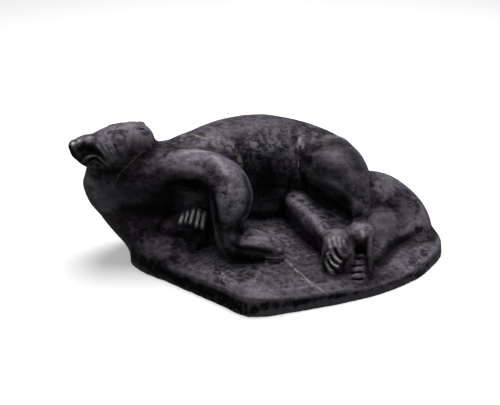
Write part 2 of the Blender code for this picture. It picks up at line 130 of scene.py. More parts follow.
NEAR_PAW = (
    (-8, -31.5, 18, 10, 10.5), (-1, -31.2, 18.4, 11.6, 11), (5, -31, 17.6, 11.8, 10.6),
    (11, -31, 16, 11.4, 9.4),
)
FAR_ARM = (
    (-64, -6, 17, 8, 8), (-56, -12, 22, 7, 7), (-46, -15.5, 28, 7, 7), (-38, -16.5, 32, 8, 7.5),
    (-33.5, -17, 33, 8, 7.5),
)
FAR_PAW_BLOCK = (
    (-35, -12, 30, 8.5, 9.5), (-37, -12, 22, 11, 12), (-42, -13, 12, 15.5, 17), (-46, -14, 0, 20, 23),
)
NEAR_SHIN = ((61, 0, 28, 10, 10), (64, -12, 24, 9, 9), (65.5, -22, 25, 8.5, 9.5), (65.3, -28.5, 26.6, 8, 9.4))
BETWEEN_FEET = ((58, -30.5, 26, 5.5, 5.5), (57, -38, 14, 5.5, 6.5), (57, -39.5, 5, 6, 7))
BEHIND_NEAR_FOOT = ((70.4, -30, 25, 8, 2.8), (70.6, -34.5, 16, 9, 2.4), (70.4, -37.5, 6, 9, 2.6))
NEAR_FOOT = ((63.5, -28, 11.5, 6.5, 6.5), (63.5, -38, 9.5, 6.5, 7), (63, -46, 6.5, 6.5, 6))
FAR_SHIN = (
    (31, 13, 28, 10.5, 10), (35, 0, 27, 11, 9.5), (42, -12, 25, 12, 9.5), (49, -23, 23.5, 11, 9),
    (52, -32, 24, 9, 8.5),
)
FAR_FOOT = ((51, -33, 25, 8.5, 8.5), (50.5, -35.5, 18, 8.5, 9.5), (50, -37, 8, 8.5, 10))

# Egg-shaped forms, as (centre, half sizes)
BREAST = ((-40, 1, 41), (24, 20, 25))
BELLY = ((6, 23, 33), (34, 17, 17))
TAIL_INSIDE = ((85, 14, 8), (19, 25, 15))
BETWEEN_SHINS = ((56, -10, 23), (11, 14, 11))

# The head has its own frame: forward along the nose, near towards the feet's side of the carving, and up
HEAD_CENTRE = (-82, -3, 73.5)
HEAD_YAW = 14
HEAD_PITCH = -1
HEAD_ROLL = 5

# The head's forms, as (centre, half sizes, turn in degrees). The ear and eye of each side have no turn
SKULL = (
    ((-12, 0, 2.5), (13.5, 15.5, 11.5), (0, 0, 0)),
    ((-2, 0, 0.5), (20, 16.5, 12.3), (0, 7, 0)),
    ((6, 0, -3.5), (17, 13, 9), (0, 0, 0)),
)
MUZZLE = (((13.8, 0, 0.6), (12, 9.5, 8.6), (0, 0, 0)), ((7, 0, -7.3), (12.3, 9, 5.6), (0, 0, 0)))
NOSE = (((22.4, 0, 2.8), (3.8, 5.4, 4), (0, 0, 0)), ((17.6, 0, 5), (3, 4.6, 2.9), (0, 0, 0)))
EAR = ((-17.4, 6.8, 9.4), (3.8, 3.3, 2.9))
EYE = ((-2.2, 11.3, 7), (3.3, 1.7, 2.7))

# Toes: the rows of each foot from its knuckles to its tips
NEAR_FOREPAW_TOES = (
    ((9, -39.2, 22.4), (17, -37.4, 21.2)),
    ((9, -39.8, 18.6), (17.8, -38.2, 17.6)),
    ((9, -40, 14.8), (17.8, -38.6, 13.8)),
    ((9, -40, 11.4), (17, -38.6, 11)),
)
FAR_FOREPAW_TOES = (
    ((-40.2, -20.8, 36.2), (-41.8, -23.6, 33)),
    ((-37.2, -20, 37.8), (-38.6, -24, 34)),
    ((-33.8, -18.4, 39), (-35.6, -24, 33)),
    ((-30.4, -18, 38.4), (-32, -24.6, 31)),
    ((-27.2, -17.2, 36.6), (-28.8, -23.4, 29.4)),
)
FAR_HIND_TOES = (
    ((50.6, -40.4, 26.5), (52.8, -42.8, 23), (55.6, -42.8, 20.6)),
    ((47.6, -40.8, 25), (49.8, -43.4, 20), (52.8, -44, 18)),
    ((45.6, -42.4, 21.5), (48, -44.6, 16.7), (50.8, -45.1, 14.8)),
    ((43.8, -42.8, 18), (46.3, -45.2, 13.2), (49.4, -45.9, 11.5)),
)
NEAR_HIND_TOES = (
    ((66.5, -35.4, 16.6), (60.2, -35.4, 15.8)),
    ((66.5, -39.6, 13.8), (59.6, -39.6, 12.8)),
    ((66.5, -43.4, 11), (59.4, -43.4, 10)),
    ((66.5, -46.4, 8.2), (59.6, -46.4, 7.2)),
    ((66.5, -48.8, 5.2), (60, -48.8, 4.2)),
)

# The feet, as (toes, radius of a toe, how far the gaps stand forward of the toes' middles, how pale the toes
# are, how pale the gaps are), where below 0 is black. The toes' pale marks are painted highlights on their
# crests, and black gaps are painted shade
FEET = (
    (NEAR_FOREPAW_TOES, 2.3, (0.3, -1.8, 0), 0, 1),
    (FAR_FOREPAW_TOES, 1.7, (0, -1.2, 1), 0.75, -0.9),
    (FAR_HIND_TOES, 1.6, (-0.2, -1.6, 0.6), 0.25, -1),
    (NEAR_HIND_TOES, 2.1, (-0.5, -1, 2), 0, -0.2),
)

# Cuts in the body, as (path, width, depth)
UNDER_TAIL = ((114, 5.5, 15), (101, -5.5, 14), (90, -14, 12.5), (82, -24, 10), (74.5, -36, 8.5))
BEHIND_THIGH = ((72, 14, 52), (74, 4, 40), (77, -5, 28), (79, -12, 20))
BEFORE_THIGH = ((29, 22, 73), (31.5, 11, 63), (33.2, 6, 55))
OVER_NEAR_FOOT = ((60, -33.5, 21), (63.6, -35.5, 21.4), (66.4, -36, 21.2))
BODY_CUTS = (
    (UNDER_TAIL, 6.5, 2.4), (BEHIND_THIGH, 4.5, 1.8), (BEFORE_THIGH, 5, 1), (OVER_NEAR_FOOT, 3, 1.6),
)

# The legs are cut as a top plane and a side plane, which meet in a crest, and the side plane turns under.
# Each path has its width and its depth, and a depth below 0 raises a ridge
ARM_CREST = (
    (-47, -17.8, 64.3), (-34, -18.6, 63), (-27.5, -19.5, 61.5), (-22.5, -25, 57), (-20, -31, 50.5),
    (-17, -34.7, 43.2), (-12.6, -33, 37),
)
UNDER_ARM = ((-42, -18, 56), (-32, -18.5, 54), (-25, -24, 48), (-23, -29, 41), (-21, -32, 33))
THIGH_CREST = (
    (35, 6, 53), (39.5, -0.5, 51.5), (47, -8, 50.5), (55, -11.7, 47.5), (62.5, -14.6, 41.5), (67, -15.5, 36),
)
UNDER_THIGH = ((37, 3, 45), (43, -6, 43), (50, -11, 40), (57, -15, 35), (63, -16.5, 30))
SHIN_CREST = (
    (21.4, 8.1, 34.5), (28.4, -2.9, 34.5), (35.2, -13.6, 33.2), (40.7, -24.7, 30.5), (44.6, -35, 28.7),
)
UNDER_SHIN = ((22, 2, 25), (28, -10, 24), (35, -20, 22), (40, -30, 19))
PAW_CREST = ((-7, -40.4, 27.5), (0, -40.8, 27.2), (6, -40.8, 26))
PLANES = (
    (ARM_CREST, 6, -2), (UNDER_ARM, 6, 1.6), (THIGH_CREST, 6, -2), (UNDER_THIGH, 6.5, 2.2),
    (SHIN_CREST, 4.5, -1.5), (UNDER_SHIN, 6, 1.5), (PAW_CREST, 2.4, -0.4),
)

# Cuts in both sides of the head, in its own frame
MOUTH = (
    (18.4, 4.6, -9), (17, 8, -5.6), (14.2, 10.4, -3.2), (11.4, 12, -3.6), (8.8, 12.8, -6.4), (6.6, 12, -9.6),
)
UPPER_LIP = (
    (20, 4.4, -6.6), (18.2, 7.2, -4), (16, 9, -2), (13.2, 11, -0.9), (10, 12.6, -1.6), (7.2, 13.4, -4.6),
    (5, 13, -8),
)
LOWER_JAW = ((16, 8.7, -7), (12.8, 11, -6.4), (9.5, 10.8, -9.4))
BESIDE_NOSE = ((19.8, 6.6, 3.4), (16, 8.8, 2.2), (12, 11, 0.4), (8.8, 13.2, -2.2))
EYE_RING = (
    (1.3, 12, 7.8), (0, 9.2, 10.2), (-3.2, 8.8, 10.8), (-5.8, 11.4, 9.2), (-5, 14, 6.2), (-1.8, 15, 4.6),
    (0.6, 14.2, 5.8),
)
TEAR_LINE = ((0.4, 14, 6), (-1, 15.7, 2.6))
BROW = ((2, 5, 11.6), (-3, 5.6, 12.4), (-8, 7, 12.4))
EAR_HOLLOW = ((-15.6, 7.2, 12.2), (-17.4, 8.4, 12), (-19.2, 7.6, 11.8))
HEAD_CUTS = (
    (MOUTH, 1.5, 1.7), (UPPER_LIP, 1.4, -0.8), (LOWER_JAW, 2.6, 0.8), (BESIDE_NOSE, 5, 1.5),
    (EYE_RING, 1.5, 0.4), (TEAR_LINE, 1, 0.5), (BROW, 1.8, -0.6), (EAR_HOLLOW, 1.4, 1.5),
)

# Finer cuts that are left to the finished surface: nostril and cheek furrows
NOSTRIL = ((25.4, 2, 3.6), (24.6, 3.6, 3))
CHEEK_FURROWS = (
    ((9.7, 9.3, 6.3), (8, 12.9, 3.5), (5.6, 14.7, 0.1), (3.5, 14.7, -3.2)),
    ((5.9, 12.1, 6.1), (4.2, 14.8, 2.5), (2.3, 15.3, -1.9), (0.8, 14.4, -4.8)),
    ((2.8, 14.4, 4.6), (1, 15.7, 0.6), (-0.5, 15.1, -3.5)),
)
FINE_HEAD_CUTS = ((NOSTRIL, 1, 0.9),) + tuple((path, 0.8, 0.25) for path in CHEEK_FURROWS)

# The tan vein that winds over the back, between the shoulder and the elbow
BACK_VEIN = (
    (-36.4, 15.1, 74.6), (-31.8, 11.5, 74.7), (-27.4, 8.5, 73.9), (-25, 9.8, 74.7), (-20.8, 9.3, 74.3),
    (-17.1, 8.6, 73.3), (-12.8, 7.9, 71.5), (-9.8, 6.6, 68.8), (-7.3, 5.3, 65.4), (-5.5, 3.8, 60.7),
    (-5, 2, 54),
)

# Marks of colour, as (path, width, strength): pale scratches, with highlights and glints painted on crests and
# toes; black, which is painted shade in hollows, creases and undersides and darkens some lit tops; paler
# painted light where the tops catch the light; and the tan vein
# Pale scratches along the cheek furrows, painted glints on the nose, and a painted highlight along the upper
# lip
PALE_ON_HEAD = tuple((path, 1.1, 0.25) for path in CHEEK_FURROWS) + (
    (((24.6, 3.2, 5.8), (22.4, 3.8, 6.6)), 1.6, 0.9),
    (((20.4, 3.4, 7.2), (19, 4, 7.4)), 1.4, 0.8),
    (((13.6, 3.4, 8.8), (12.4, 3.8, 8.9)), 1.7, 1),
    (UPPER_LIP, 1, 0.3),
)
# Painted shade: black in the hollows beside the nose, under the jaw, round the eye and in the face's creases
BLACK_ON_HEAD = (
    (((26.6, 0.6, 2.6), (25.4, 2.5, 1.7), (23.4, 4.6, -0.6), (21, 5.6, -3.6), (18, 6.6, -5.6)), 4.6, 1),
    (((22.6, 5.4, 2.6), (19.6, 6.8, 2.4), (16.2, 7.4, 3.2), (11.3, 9.7, 2.3)), 4.4, 1),
    (((0.4, 12.4, 8), (-2.4, 13.2, 7.6), (-5, 13.4, 6.6)), 4, 0.4),
    (((21, 5.6, 4), (18.4, 6.6, 3.8), (12.8, 8.6, 3.2), (9.6, 12, 0.4), (6.4, 14.2, -3)), 5, 1),
    (((20, 6.5, -1), (15, 9.6, 0), (11, 12.2, -1.6)), 4.6, 1),
    (((18.4, 5.6, 6), (15.6, 6.6, 6.2)), 3, 1),
    (((25.8, 0.6, 1.6), (24.4, 3, -2), (21.6, 4.6, -5.4)), 3.2, 0.9),
    (LOWER_JAW, 3, 0.5),
    (((14, 7, -12), (8, 10.5, -12.5), (1, 13, -11.5), (-5, 14, -10)), 4.4, 0.7),
    (EYE_RING[:3], 1.5, 0.5),
    (((0.6, 14.2, 5.6), (-1.4, 15.6, 1.6), (-3.4, 16.4, -1.6)), 1.5, 0.6),
    (((-2.2, 13.2, 7.6), (-3, 13.6, 6.6)), 2, 0.45),
)
# Painted light: paler colour where the head's crown and cheeks catch the light
PAINTED_LIGHT_ON_HEAD = (
    (((12, 5, 9.6), (4.9, 6, 10.3), (-3.7, 3.9, 12.5), (-14.1, 2.1, 13.3)), 6, 0.9),
    (((9, 7, 8.6), (7.4, 11, 5.6), (5, 14, 0.6), (3, 14.6, -4), (1, 14, -8)), 5, 1),
    (((-6, 15, 3), (-10, 15, 0), (-12, 15, -4)), 6, 0.5),
)
HEAD_MARKS = {"pale": PALE_ON_HEAD, "black": BLACK_ON_HEAD, "painted_light": PAINTED_LIGHT_ON_HEAD}

# Painted highlights and glints on crests, ridges and toes, and painted light on the throat, the neck and the
# arm's lower side
PALE_ON_BODY = (
    (((31.6, 24, 69.4), (30.4, 20, 66), (29.6, 17.6, 62.6)), 1.3, 0.5),
    (((33.6, 21.4, 66.8), (32.6, 18, 63)), 1.1, 0.35),
    (((-40, -9, 72), (-33, -6.4, 72.4), (-25, -5, 71.6)), 3, 0.22),
    (((-21.6, -9, 70.2), (-16.5, -16.6, 67), (-12.9, -21.9, 62.9)), 3, 0.2),
    (((-12, -24, 60), (-11.6, -27.4, 56.5), (-13, -31.7, 48.9)), 2.6, 0.18),
    (((24, -1, 36.8), (31, -10, 36.2), (38, -20, 34.6)), 1.6, 0.25),
    (((46.4, -42.4, 24.4), (48.6, -43.8, 22), (51.9, -45.4, 19.2), (53, -45.4, 18)), 1.2, 1),
    (((44.6, -43.4, 21.6), (46.6, -44.6, 19), (50.3, -45.4, 16.4), (51.4, -45.4, 15.4)), 1.2, 1),
    (((44, -44, 18), (46.6, -45.8, 14), (48.6, -46, 12.8)), 1, 0.6),
    (((65.6, -35, 36), (66.8, -37, 33), (66, -38, 30.6)), 1.7, 0.5),
    (((45.8, -37.6, 30), (46.4, -39.4, 28.4), (46.8, -41.6, 26)), 1.7, 0.65),
    (((48.6, -37.6, 31.2), (49.4, -40, 29.4), (49.8, -42, 26.4)), 1.5, 0.6),
    (((51.4, -38, 31), (52.2, -40.4, 28.8), (52.8, -42, 26)), 1.4, 0.6),
    (((54, -38.4, 29.6), (55, -40.4, 27.4)), 1.3, 0.6),
    (((-100, -2.2, 57), (-98, -8, 54.6), (-93, -12.6, 52.6)), 3.4, 0.35),
    (((-96, -12, 50), (-92.1, -14.3, 43.7), (-86, -16, 36)), 5, 0.1),
    (((-9, -34, 48), (-9.9, -34, 40)), 5, 0.14),
)
# Painted shade: black in the body's creases, undersides, gaps and recesses and along the slab's foot, and a
# darkening over some lit tops of the back and thigh
BLACK_ON_BODY = (
    (((-82, -17.6, 56), (-70, -18, 54), (-60, -18, 52), (-46, -17, 48), (-36, -14, 46.8)), 14, 0.8),
    (((-82, -18, 43), (-70, -19.5, 41), (-60, -20, 39.8), (-50, -19, 41), (-42, -18, 42)), 13, 0.8),
    (((-70, -23, 31), (-60, -24, 29), (-51, -25, 29)), 9, 0.4),
    (((48, 18, 66), (58, 10, 60), (64, 0, 52)), 14, 0.75),
    (((-4.7, -14, 62.6), (-1.9, -21.5, 58.9), (0.5, -27, 52), (-2, -30, 46), (-6, -32, 41)), 4.4, 0.8),
    (((34, -52, 11), (60, -50, 9), (90, -36, 8)), 14, 0.35),
    (((34.7, 9.5, 54.2), (41.3, -4, 53.5), (48.2, -10.2, 51), (55.9, -13.4, 47.9), (63.1, -15.6, 42.3)), 8, 1),
    (((36, 14, 61), (42.7, 1.8, 60.3), (51.4, -4.1, 58.9), (60.4, -7.7, 53.8)), 10, 0.75),
    (((82.5, 8, 22.2), (87.8, -0.6, 19.6), (93, -8, 12)), 10, 0.6),
    (((61.4, -31.6, 32.6), (63.5, -34.4, 31.2), (65.8, -36, 28.1)), 2, 0.55),
    (((67.4, -30, 33.8), (69.6, -32.4, 31.6)), 2.2, 0.5),
    (OVER_NEAR_FOOT, 4.4, 1),
    (((-12.8, -36.5, 38.2), (-8.2, -34.9, 34.1), (-5.9, -30.5, 30)), 6.6, 1),
    (((-24, 20, 77), (-6, 30, 79.5), (10, 36, 79), (26, 38, 74.5), (40, 37, 70)), 15, 0.45),
    (((36, 14, 62), (46, 4, 60), (56, -4, 54)), 13, 0.45),
    (((40, 2, 55), (50, -6, 52), (60, -11, 45)), 8, 0.75),
    (((62, -24, 38), (68, -26, 37)), 3, 0.5),
    (((16, -50, 13.5), (40, -36, 14.6)), 8, 0.3),
    (((-16, -41, 26), (-12, -42, 21), (-2.9, -43, 20), (8.8, -43, 18.5), (15, -42.4, 17)), 7, 0.95),
    (((-21.4, -21.3, 47), (-18.8, -31.2, 35.5), (-17, -38.7, 25.5)), 5, 0.6),
    (((7.4, 7.7, 57), (12.5, 8.1, 43.2), (13.9, 7.1, 29.8)), 15, 0.7),
    (((31, 9, 50), (33.6, 8.4, 47.9), (41.8, -2.2, 42), (53.5, -11.5, 38), (63, -16.4, 34)), 6.6, 0.95),
    (((23.1, 1.8, 31.7), (30.4, -14.5, 28), (39.5, -27.5, 23.5)), 6, 0.6),
    (((104, -2, 12.6), (92.2, -9.1, 11.4), (84.7, -19.3, 9.2), (75.2, -36.1, 9.1)), 6, 1),
    (((79.7, 21.6, 33.4), (83.4, 16.8, 25.8)), 3.6, 0.7),
    (((86.7, 18.6, 27.7), (94.8, 13.9, 21.4)), 3.6, 0.6),
    (((-46.3, -16, 56.4), (-35.8, -13.8, 54), (-28.2, -15.3, 47.4)), 6, 0.7),
    (((-47, -22, 26), (-36.2, -23.3, 23.9), (-27.5, -24.3, 29.9)), 5, 0.7),
    (((-14, -38, 30), (-6, -41.6, 26), (2, -42, 25), (10, -41.6, 23.5), (15, -40, 22)), 4.4, 1),
    (((43, -42.4, 24), (43, -45, 16), (47, -47, 9.4), (53, -46.6, 12)), 4.4, 1),
    (((-76, -12, 6), (-66, -22, 6.5), (-42, -43.5, 5.4), (-17, -63.2, 6), (-3, -74.6, 6)), 9, 0.9),
    (((3, -75, 9), (28, -69.4, 7.6), (60, -58.5, 6)), 2.6, 0.7),
    (((60, -58.5, 6), (90, -42, 5), (118, -10, 6)), 2, 0.6),
    (((53.6, -43.6, 15), (54.6, -43, 18.6)), 2, 0.7),
    (((69.6, -37, 31.5), (69, -38, 28.4)), 2.2, 0.6),
    (((60.4, -36.6, 33), (60.6, -37.4, 29)), 2.4, 0.5),
)
# Painted light: paler colour on the tops that catch the light, and on the throat and chest that the head
# shades
PAINTED_LIGHT_ON_BODY = (
    (((-15, -24, 60), (-14, -28, 54), (-14, -32, 47)), 6, 0.8),
    (((-42.4, -14.8, 69.4), (-29.6, -10.1, 71.3), (-17.8, -12, 68.8)), 6, 1),
    (((-17.8, -12, 68.8), (-10.5, -22.7, 62), (-7, -29, 52.5), (-8.5, -33, 43)), 7, 1),
    (((-34, 4, 73), (-27.4, 5.9, 72.4), (-17, 6.3, 71.5), (-7.3, 7.5, 68.4)), 5, 0.9),
    (((-2, 11, 68), (3.1, 12.6, 69.6), (12.4, 14.3, 67.6), (20.5, 17.3, 67.7)), 7.5, 1),
    (((66, 20, 48), (80, 22, 38), (92, 24, 30)), 9, 0.35),
    (((114, -8, 8.6), (104, -26, 8), (90, -38, 7.6)), 8, 0.7),
    (((29.3, 17.4, 63), (31.3, 22, 67.8), (33.4, 27.6, 71)), 3.4, 1),
    (((35.1, 22.5, 67.6), (43, 29.2, 69)), 6, 0.6),
    (((38.4, 12, 61.9), (46.3, 1.9, 62.9), (52, -3.4, 59.9)), 5, 0.3),
    (((22.6, 8.6, 36.8), (30, 5, 37.1), (37.5, -14.8, 35.1), (46, -34, 32)), 6, 0.7),
    (((60.2, -31.5, 32.3), (65.5, -30.2, 34.3), (70.8, -31.9, 31.2)), 5.5, 1),
    (((43.9, -38, 27.8), (50.2, -39.1, 30.4), (57, -40.3, 28.4), (58, -42, 18)), 5, 1),
    (((-5.9, -32, 29.4), (3, -32, 28.6), (11, -32, 26)), 6, 0.8),
    (((7.5, -1.9, 19.5), (18.4, -13.6, 18.7), (22.9, -27.5, 16.6)), 7, 0.35),
    (((-35.7, -37.2, 12.5), (-20.4, -47.7, 13.1), (-5.7, -61.6, 13.4)), 7, 0.3),
    (((-5.7, -61.6, 13.4), (6.8, -65.6, 13.2), (22.9, -60.4, 12), (34, -50, 13)), 9, 0.3),
    (((-99.6, -2.2, 56.7), (-96, -12, 52.5), (-92.1, -14.3, 43.7), (-84, -16, 36)), 8, 1),
    (((-76, -20, 30), (-66, -24, 18), (-58, -30, 14)), 10, 0.5),
    (((-62, -14, 60), (-48, -17.6, 58)), 6, 0.5),
    (((70.6, -38, 24), (71, -40, 12)), 3, 0.8),
)
TAN_ON_BODY = ((BACK_VEIN, 0.85, 2.2),)
BODY_MARKS = {"pale": PALE_ON_BODY, "black": BLACK_ON_BODY, "painted_light": PAINTED_LIGHT_ON_BODY, "tan": TAN_ON_BODY}


def smooth_through(stations, steps=STATION_STEPS):
    """Rows of numbers on a smooth curve through the given rows."""
    rows = np.array(stations, float)
    before = np.vstack([2 * rows[0] - rows[1], rows[:-1]])
    after = np.vstack([rows[1:], 2 * rows[-1] - rows[-2]])
    slopes = (after - before) / 2
    result = []
    for start, end, leaving, arriving in zip(rows[:-1], rows[1:], slopes[:-1], slopes[1:]):
        for t in np.arange(steps) / steps:
            result.append(
                (2 * t**3 - 3 * t**2 + 1) * start
                + (t**3 - 2 * t**2 + t) * leaving
                + (3 * t**2 - 2 * t**3) * end
                + (t**3 - t**2) * arriving
            )
    result.append(rows[-1])
    return np.array(result)


def loft(rings):
    """A closed skin over rings of corners."""
    bm = bmesh.new()
    rows = [[bm.verts.new(place) for place in ring] for ring in rings]
    for row, following in zip(rows[:-1], rows[1:]):
        for corner in range(len(row)):
            beside = (corner + 1) % len(row)
            bm.faces.new((row[corner], row[beside], following[beside], following[corner]))
    bm.faces.new(rows[0])
    bm.faces.new(rows[-1])
    bmesh.ops.recalc_face_normals(bm, faces=bm.faces)
    return bm


class Pose:
    """Turns the pose, written in shares of the carving's length, into forms in metres."""

    def __init__(self, sizes):
        self.share = sizes.length / POSE_LENGTH
        self.lift = sizes.edge_height - EDGE_SHARES * self.share
        yaw = Matrix.Rotation(math.radians(HEAD_YAW), 3, "Z")
        pitch = Matrix.Rotation(math.radians(-HEAD_PITCH), 3, "Y")
        roll = Matrix.Rotation(math.radians(HEAD_ROLL), 3, "X")
        facing = Matrix(((-1, 0, 0), (0, -1, 0), (0, 0, 1)))
        self.head = yaw @ facing @ pitch @ roll

    def at(self, x, y, z):
        """A point of the pose, in metres. The origin is on the ground under the middle of the carving."""
        middle_x, middle_y = MIDDLE_SHARES
        return Vector(((x - middle_x) * self.share, (y - middle_y) * self.share, z * self.share + self.lift))

    def in_head(self, forward, near, upward):
        """A point of the head's own frame, in the pose's shares."""
        return tuple(Vector(HEAD_CENTRE) + self.head @ Vector((forward, near, upward)))

    def on_head(self, path, side):
        """A path on one side of the head, in the pose's shares."""
        return [self.in_head(forward, near * side, upward) for forward, near, upward in path]

    def line(self, path):
        """A smooth line through a path's points, in metres."""
        return np.array([self.at(*row) for row in smooth_through(path, LINE_STEPS)])

    def limb(self, stations, up=UP, squareness=2):
        """A form through its stations, with domed ends. Its section is an ellipse, or squarer above 2."""
        rows = smooth_through(stations)
        centres = [self.at(*row[:3]) for row in rows]
        last = len(rows) - 1
        domes = np.radians(DOME_TURNS)
        sections = [(0, -math.sin(turn), math.cos(turn)) for turn in domes]
        sections += [(index, 0, 1) for index in range(len(rows))]
        sections += [(last, math.sin(turn), math.cos(turn)) for turn in reversed(domes)]
        rings = []
        for index, reach, narrowing in sections:
            ahead = centres[min(index + 1, last)]
            behind = centres[max(index - 1, 0)]
            along = (ahead - behind).normalized()
            side = along.cross(Vector(up)).normalized()
            upward = side.cross(along)
            half_width, half_height = rows[index][3:] * self.share
            middle = centres[index] + along * reach * min(half_width, half_height)
            ring = []
            for angle in np.linspace(0, 2 * math.pi, SECTION_SIDES, endpoint=False):
                turns = (math.cos(angle), math.sin(angle))
                sideways, upwards = (math.copysign(abs(part) ** (2 / squareness), part) for part in turns)
                across = side * half_width * sideways + upward * half_height * upwards
                ring.append(middle + across * narrowing)
            rings.append(ring)
        return loft(rings)

    def egg(self, place, radii, rotation=None):
        """An egg-shaped form at a place in metres, with its half sizes in shares."""
        bm = bmesh.new()
        size = Vector(radii) * self.share
        matrix = Matrix.LocRotScale(place, rotation, size)
        bmesh.ops.create_icosphere(bm, subdivisions=EGG_FINENESS, radius=1, matrix=matrix)
        return bm

    def boulder(self, centre, radii):
        """An egg-shaped form placed in the pose."""
        return self.egg(self.at(*centre), radii)

    def head_boulder(self, centre, radii, turn=(0, 0, 0)):
        """An egg-shaped form placed in the head's frame."""
        rotation = self.head @ Euler([math.radians(angle) for angle in turn]).to_matrix()
        return self.egg(self.at(*self.in_head(*centre)), radii, rotation.to_quaternion())

    def slab(self):
        """The slab, whose top rises from a cut edge towards the belly."""
        outline = smooth_through(SLAB_OUTLINE, LINE_STEPS)[:-1]
        heart = np.array(SLAB_HEART)
        ways = outline[:, :2] - heart
        lengths = np.linalg.norm(ways, axis=1, keepdims=True)
        edge = outline[:, 2]
        whole = np.ones_like(lengths)
        levels = [(whole, np.full_like(edge, SLAB_SOLE)), (whole, edge * 0)]
        for inset, height in WORN_EDGE:
            levels.append((1 - inset / lengths, edge * height))
        for share in SLAB_RINGS:
            climb = (1 - share) ** SLAB_CURVE
            levels.append((np.full_like(lengths, share), edge * (1 - climb) + SLAB_CROWN * climb))
        rings = []
        for reach, heights in levels:
            places = heart + ways * reach
            rings.append([self.at(*place, z) for place, z in zip(places, heights)])
        return loft(rings)

    def masses(self):
        """The large forms, which flow into each other."""
        forms = [self.slab(), self.limb(TRUNK), self.boulder(*BREAST), self.boulder(*BELLY)]
        forms += [self.limb(CHEST, AWAY), self.limb(APRON), self.limb(THIGH), self.limb(TAIL)]
        forms.append(self.boulder(*TAIL_INSIDE))
        return forms + [self.head_boulder(*form) for form in SKULL]

    def legs(self):
        """The legs, which stand out more sharply."""
        forms = [self.limb(row) for row in (NEAR_ARM, FAR_ARM, NEAR_FOOT)]
        forms += [self.limb(NEAR_PAW, squareness=4), self.limb(FAR_SHIN, squareness=3)]
        forms += [self.limb(row, AWAY) for row in (ELBOW_WEB, FAR_PAW_BLOCK, FAR_FOOT, BETWEEN_FEET)]
        forms.append(self.limb(NEAR_FOREARM, FACING_LEFT, squareness=3))
        forms += [self.limb(row, ALONG) for row in (NEAR_SHIN, BEHIND_NEAR_FOOT)]
        return forms + [self.boulder(*BETWEEN_SHINS)]

    def features(self):
        """The nose, ears, eyes and toes."""
        forms = [self.head_boulder(*form) for form in NOSE]
        for (forward, near, upward), radii in (EAR, EYE):
            for side in (1, -1):
                forms.append(self.head_boulder((forward, near * side, upward), radii))
        for rows, radius, *_ in FEET:
            forms += [self.limb([(*point, radius, radius) for point in row]) for row in rows]
        return forms


def linked(name, data):
    """An object of this data, in the scene."""
    thing = bpy.data.objects.new(name, data)
    bpy.context.scene.collection.objects.link(thing)
    return thing


def modified(mesh, modifiers):
    """The skin of a mesh after these modifiers. The mesh itself is used up."""
    block = linked("block", mesh)
    for kind, settings in modifiers.items():
        modifier = block.modifiers.new(kind.title(), kind)
        for name, value in settings.items():
            setattr(modifier, name, value)
    result = bmesh.new()
    result.from_object(block, bpy.context.evaluated_depsgraph_get())
    bpy.data.objects.remove(block)
    bpy.data.meshes.remove(mesh)
    return result


def fuse(forms, grain, reach):
    """One skin round all these overlapping forms, rubbed down over the given reach. Lengths are in metres."""
    together = bpy.data.meshes.new("together")
    bm = bmesh.new()
    for form in forms:
        form.to_mesh(together)
        bm.from_mesh(together)
        form.free()
    bm.to_mesh(together)
    bm.free()
    rubs = max(1, round((2 * reach / grain) ** 2))
    skin = {"mode": "VOXEL", "voxel_size": grain}
    return modified(together, {"REMESH": skin, "SMOOTH": {"factor": 0.5, "iterations": rubs}})


def thin(bm, most):
    """The same skin with at most this many facets."""
    mesh = bpy.data.meshes.new("thin")
    bmesh.ops.triangulate(bm, faces=bm.faces)
    bm.to_mesh(mesh)
    share = min(1, most / len(bm.faces))
    bm.free()
    return modified(mesh, {"DECIMATE": {"ratio": share}})


def cut_underside(bm):
    """Saws the block flat at the ground."""
    geometry = bm.verts[:] + bm.edges[:] + bm.faces[:]
    cut = bmesh.ops.bisect_plane(bm, geom=geometry, plane_co=(0, 0, 0), plane_no=(0, 0, -1), clear_outer=True)
    rim = [edge for edge in cut["geom_cut"] if isinstance(edge, bmesh.types.BMEdge)]
    bmesh.ops.contextual_create(bm, geom=rim)
    bmesh.ops.recalc_face_normals(bm, faces=bm.faces)
    bmesh.ops.triangulate(bm, faces=bm.faces)


# How sharply a line falls off to its sides, how strong its ends are, and the share of it that each end takes
LINE_SHARPNESS = 2.5
END_STRENGTH = 0.25
END_SHARE = 0.125


def near_line(points, line, width):
    """Which points are close to a line, and how near they are, from 0 to 1. The line's ends fade out."""
    starts, ways = line[:-1], np.diff(line, axis=0)
    margin = 2 * width
    close = ((points > line.min(axis=0) - margin) & (points < line.max(axis=0) + margin)).all(axis=1)
    offsets = points[close, None, :] - starts
    share = np.clip((offsets * ways).sum(axis=2) / (ways * ways).sum(axis=1), 0, 1)
    gaps = np.linalg.norm(offsets - share[..., None] * ways, axis=2)
    nearest = gaps.argmin(axis=1)
    rows = np.arange(len(nearest))
    along = (nearest + share[rows, nearest]) / len(ways)
    inward = np.minimum(along, 1 - along) / END_SHARE
    fading = np.clip((1 - END_STRENGTH) * inward + END_STRENGTH, 0, 1)
    return close, fading * np.exp(-LINE_SHARPNESS * (gaps[rows, nearest] / width) ** 2)


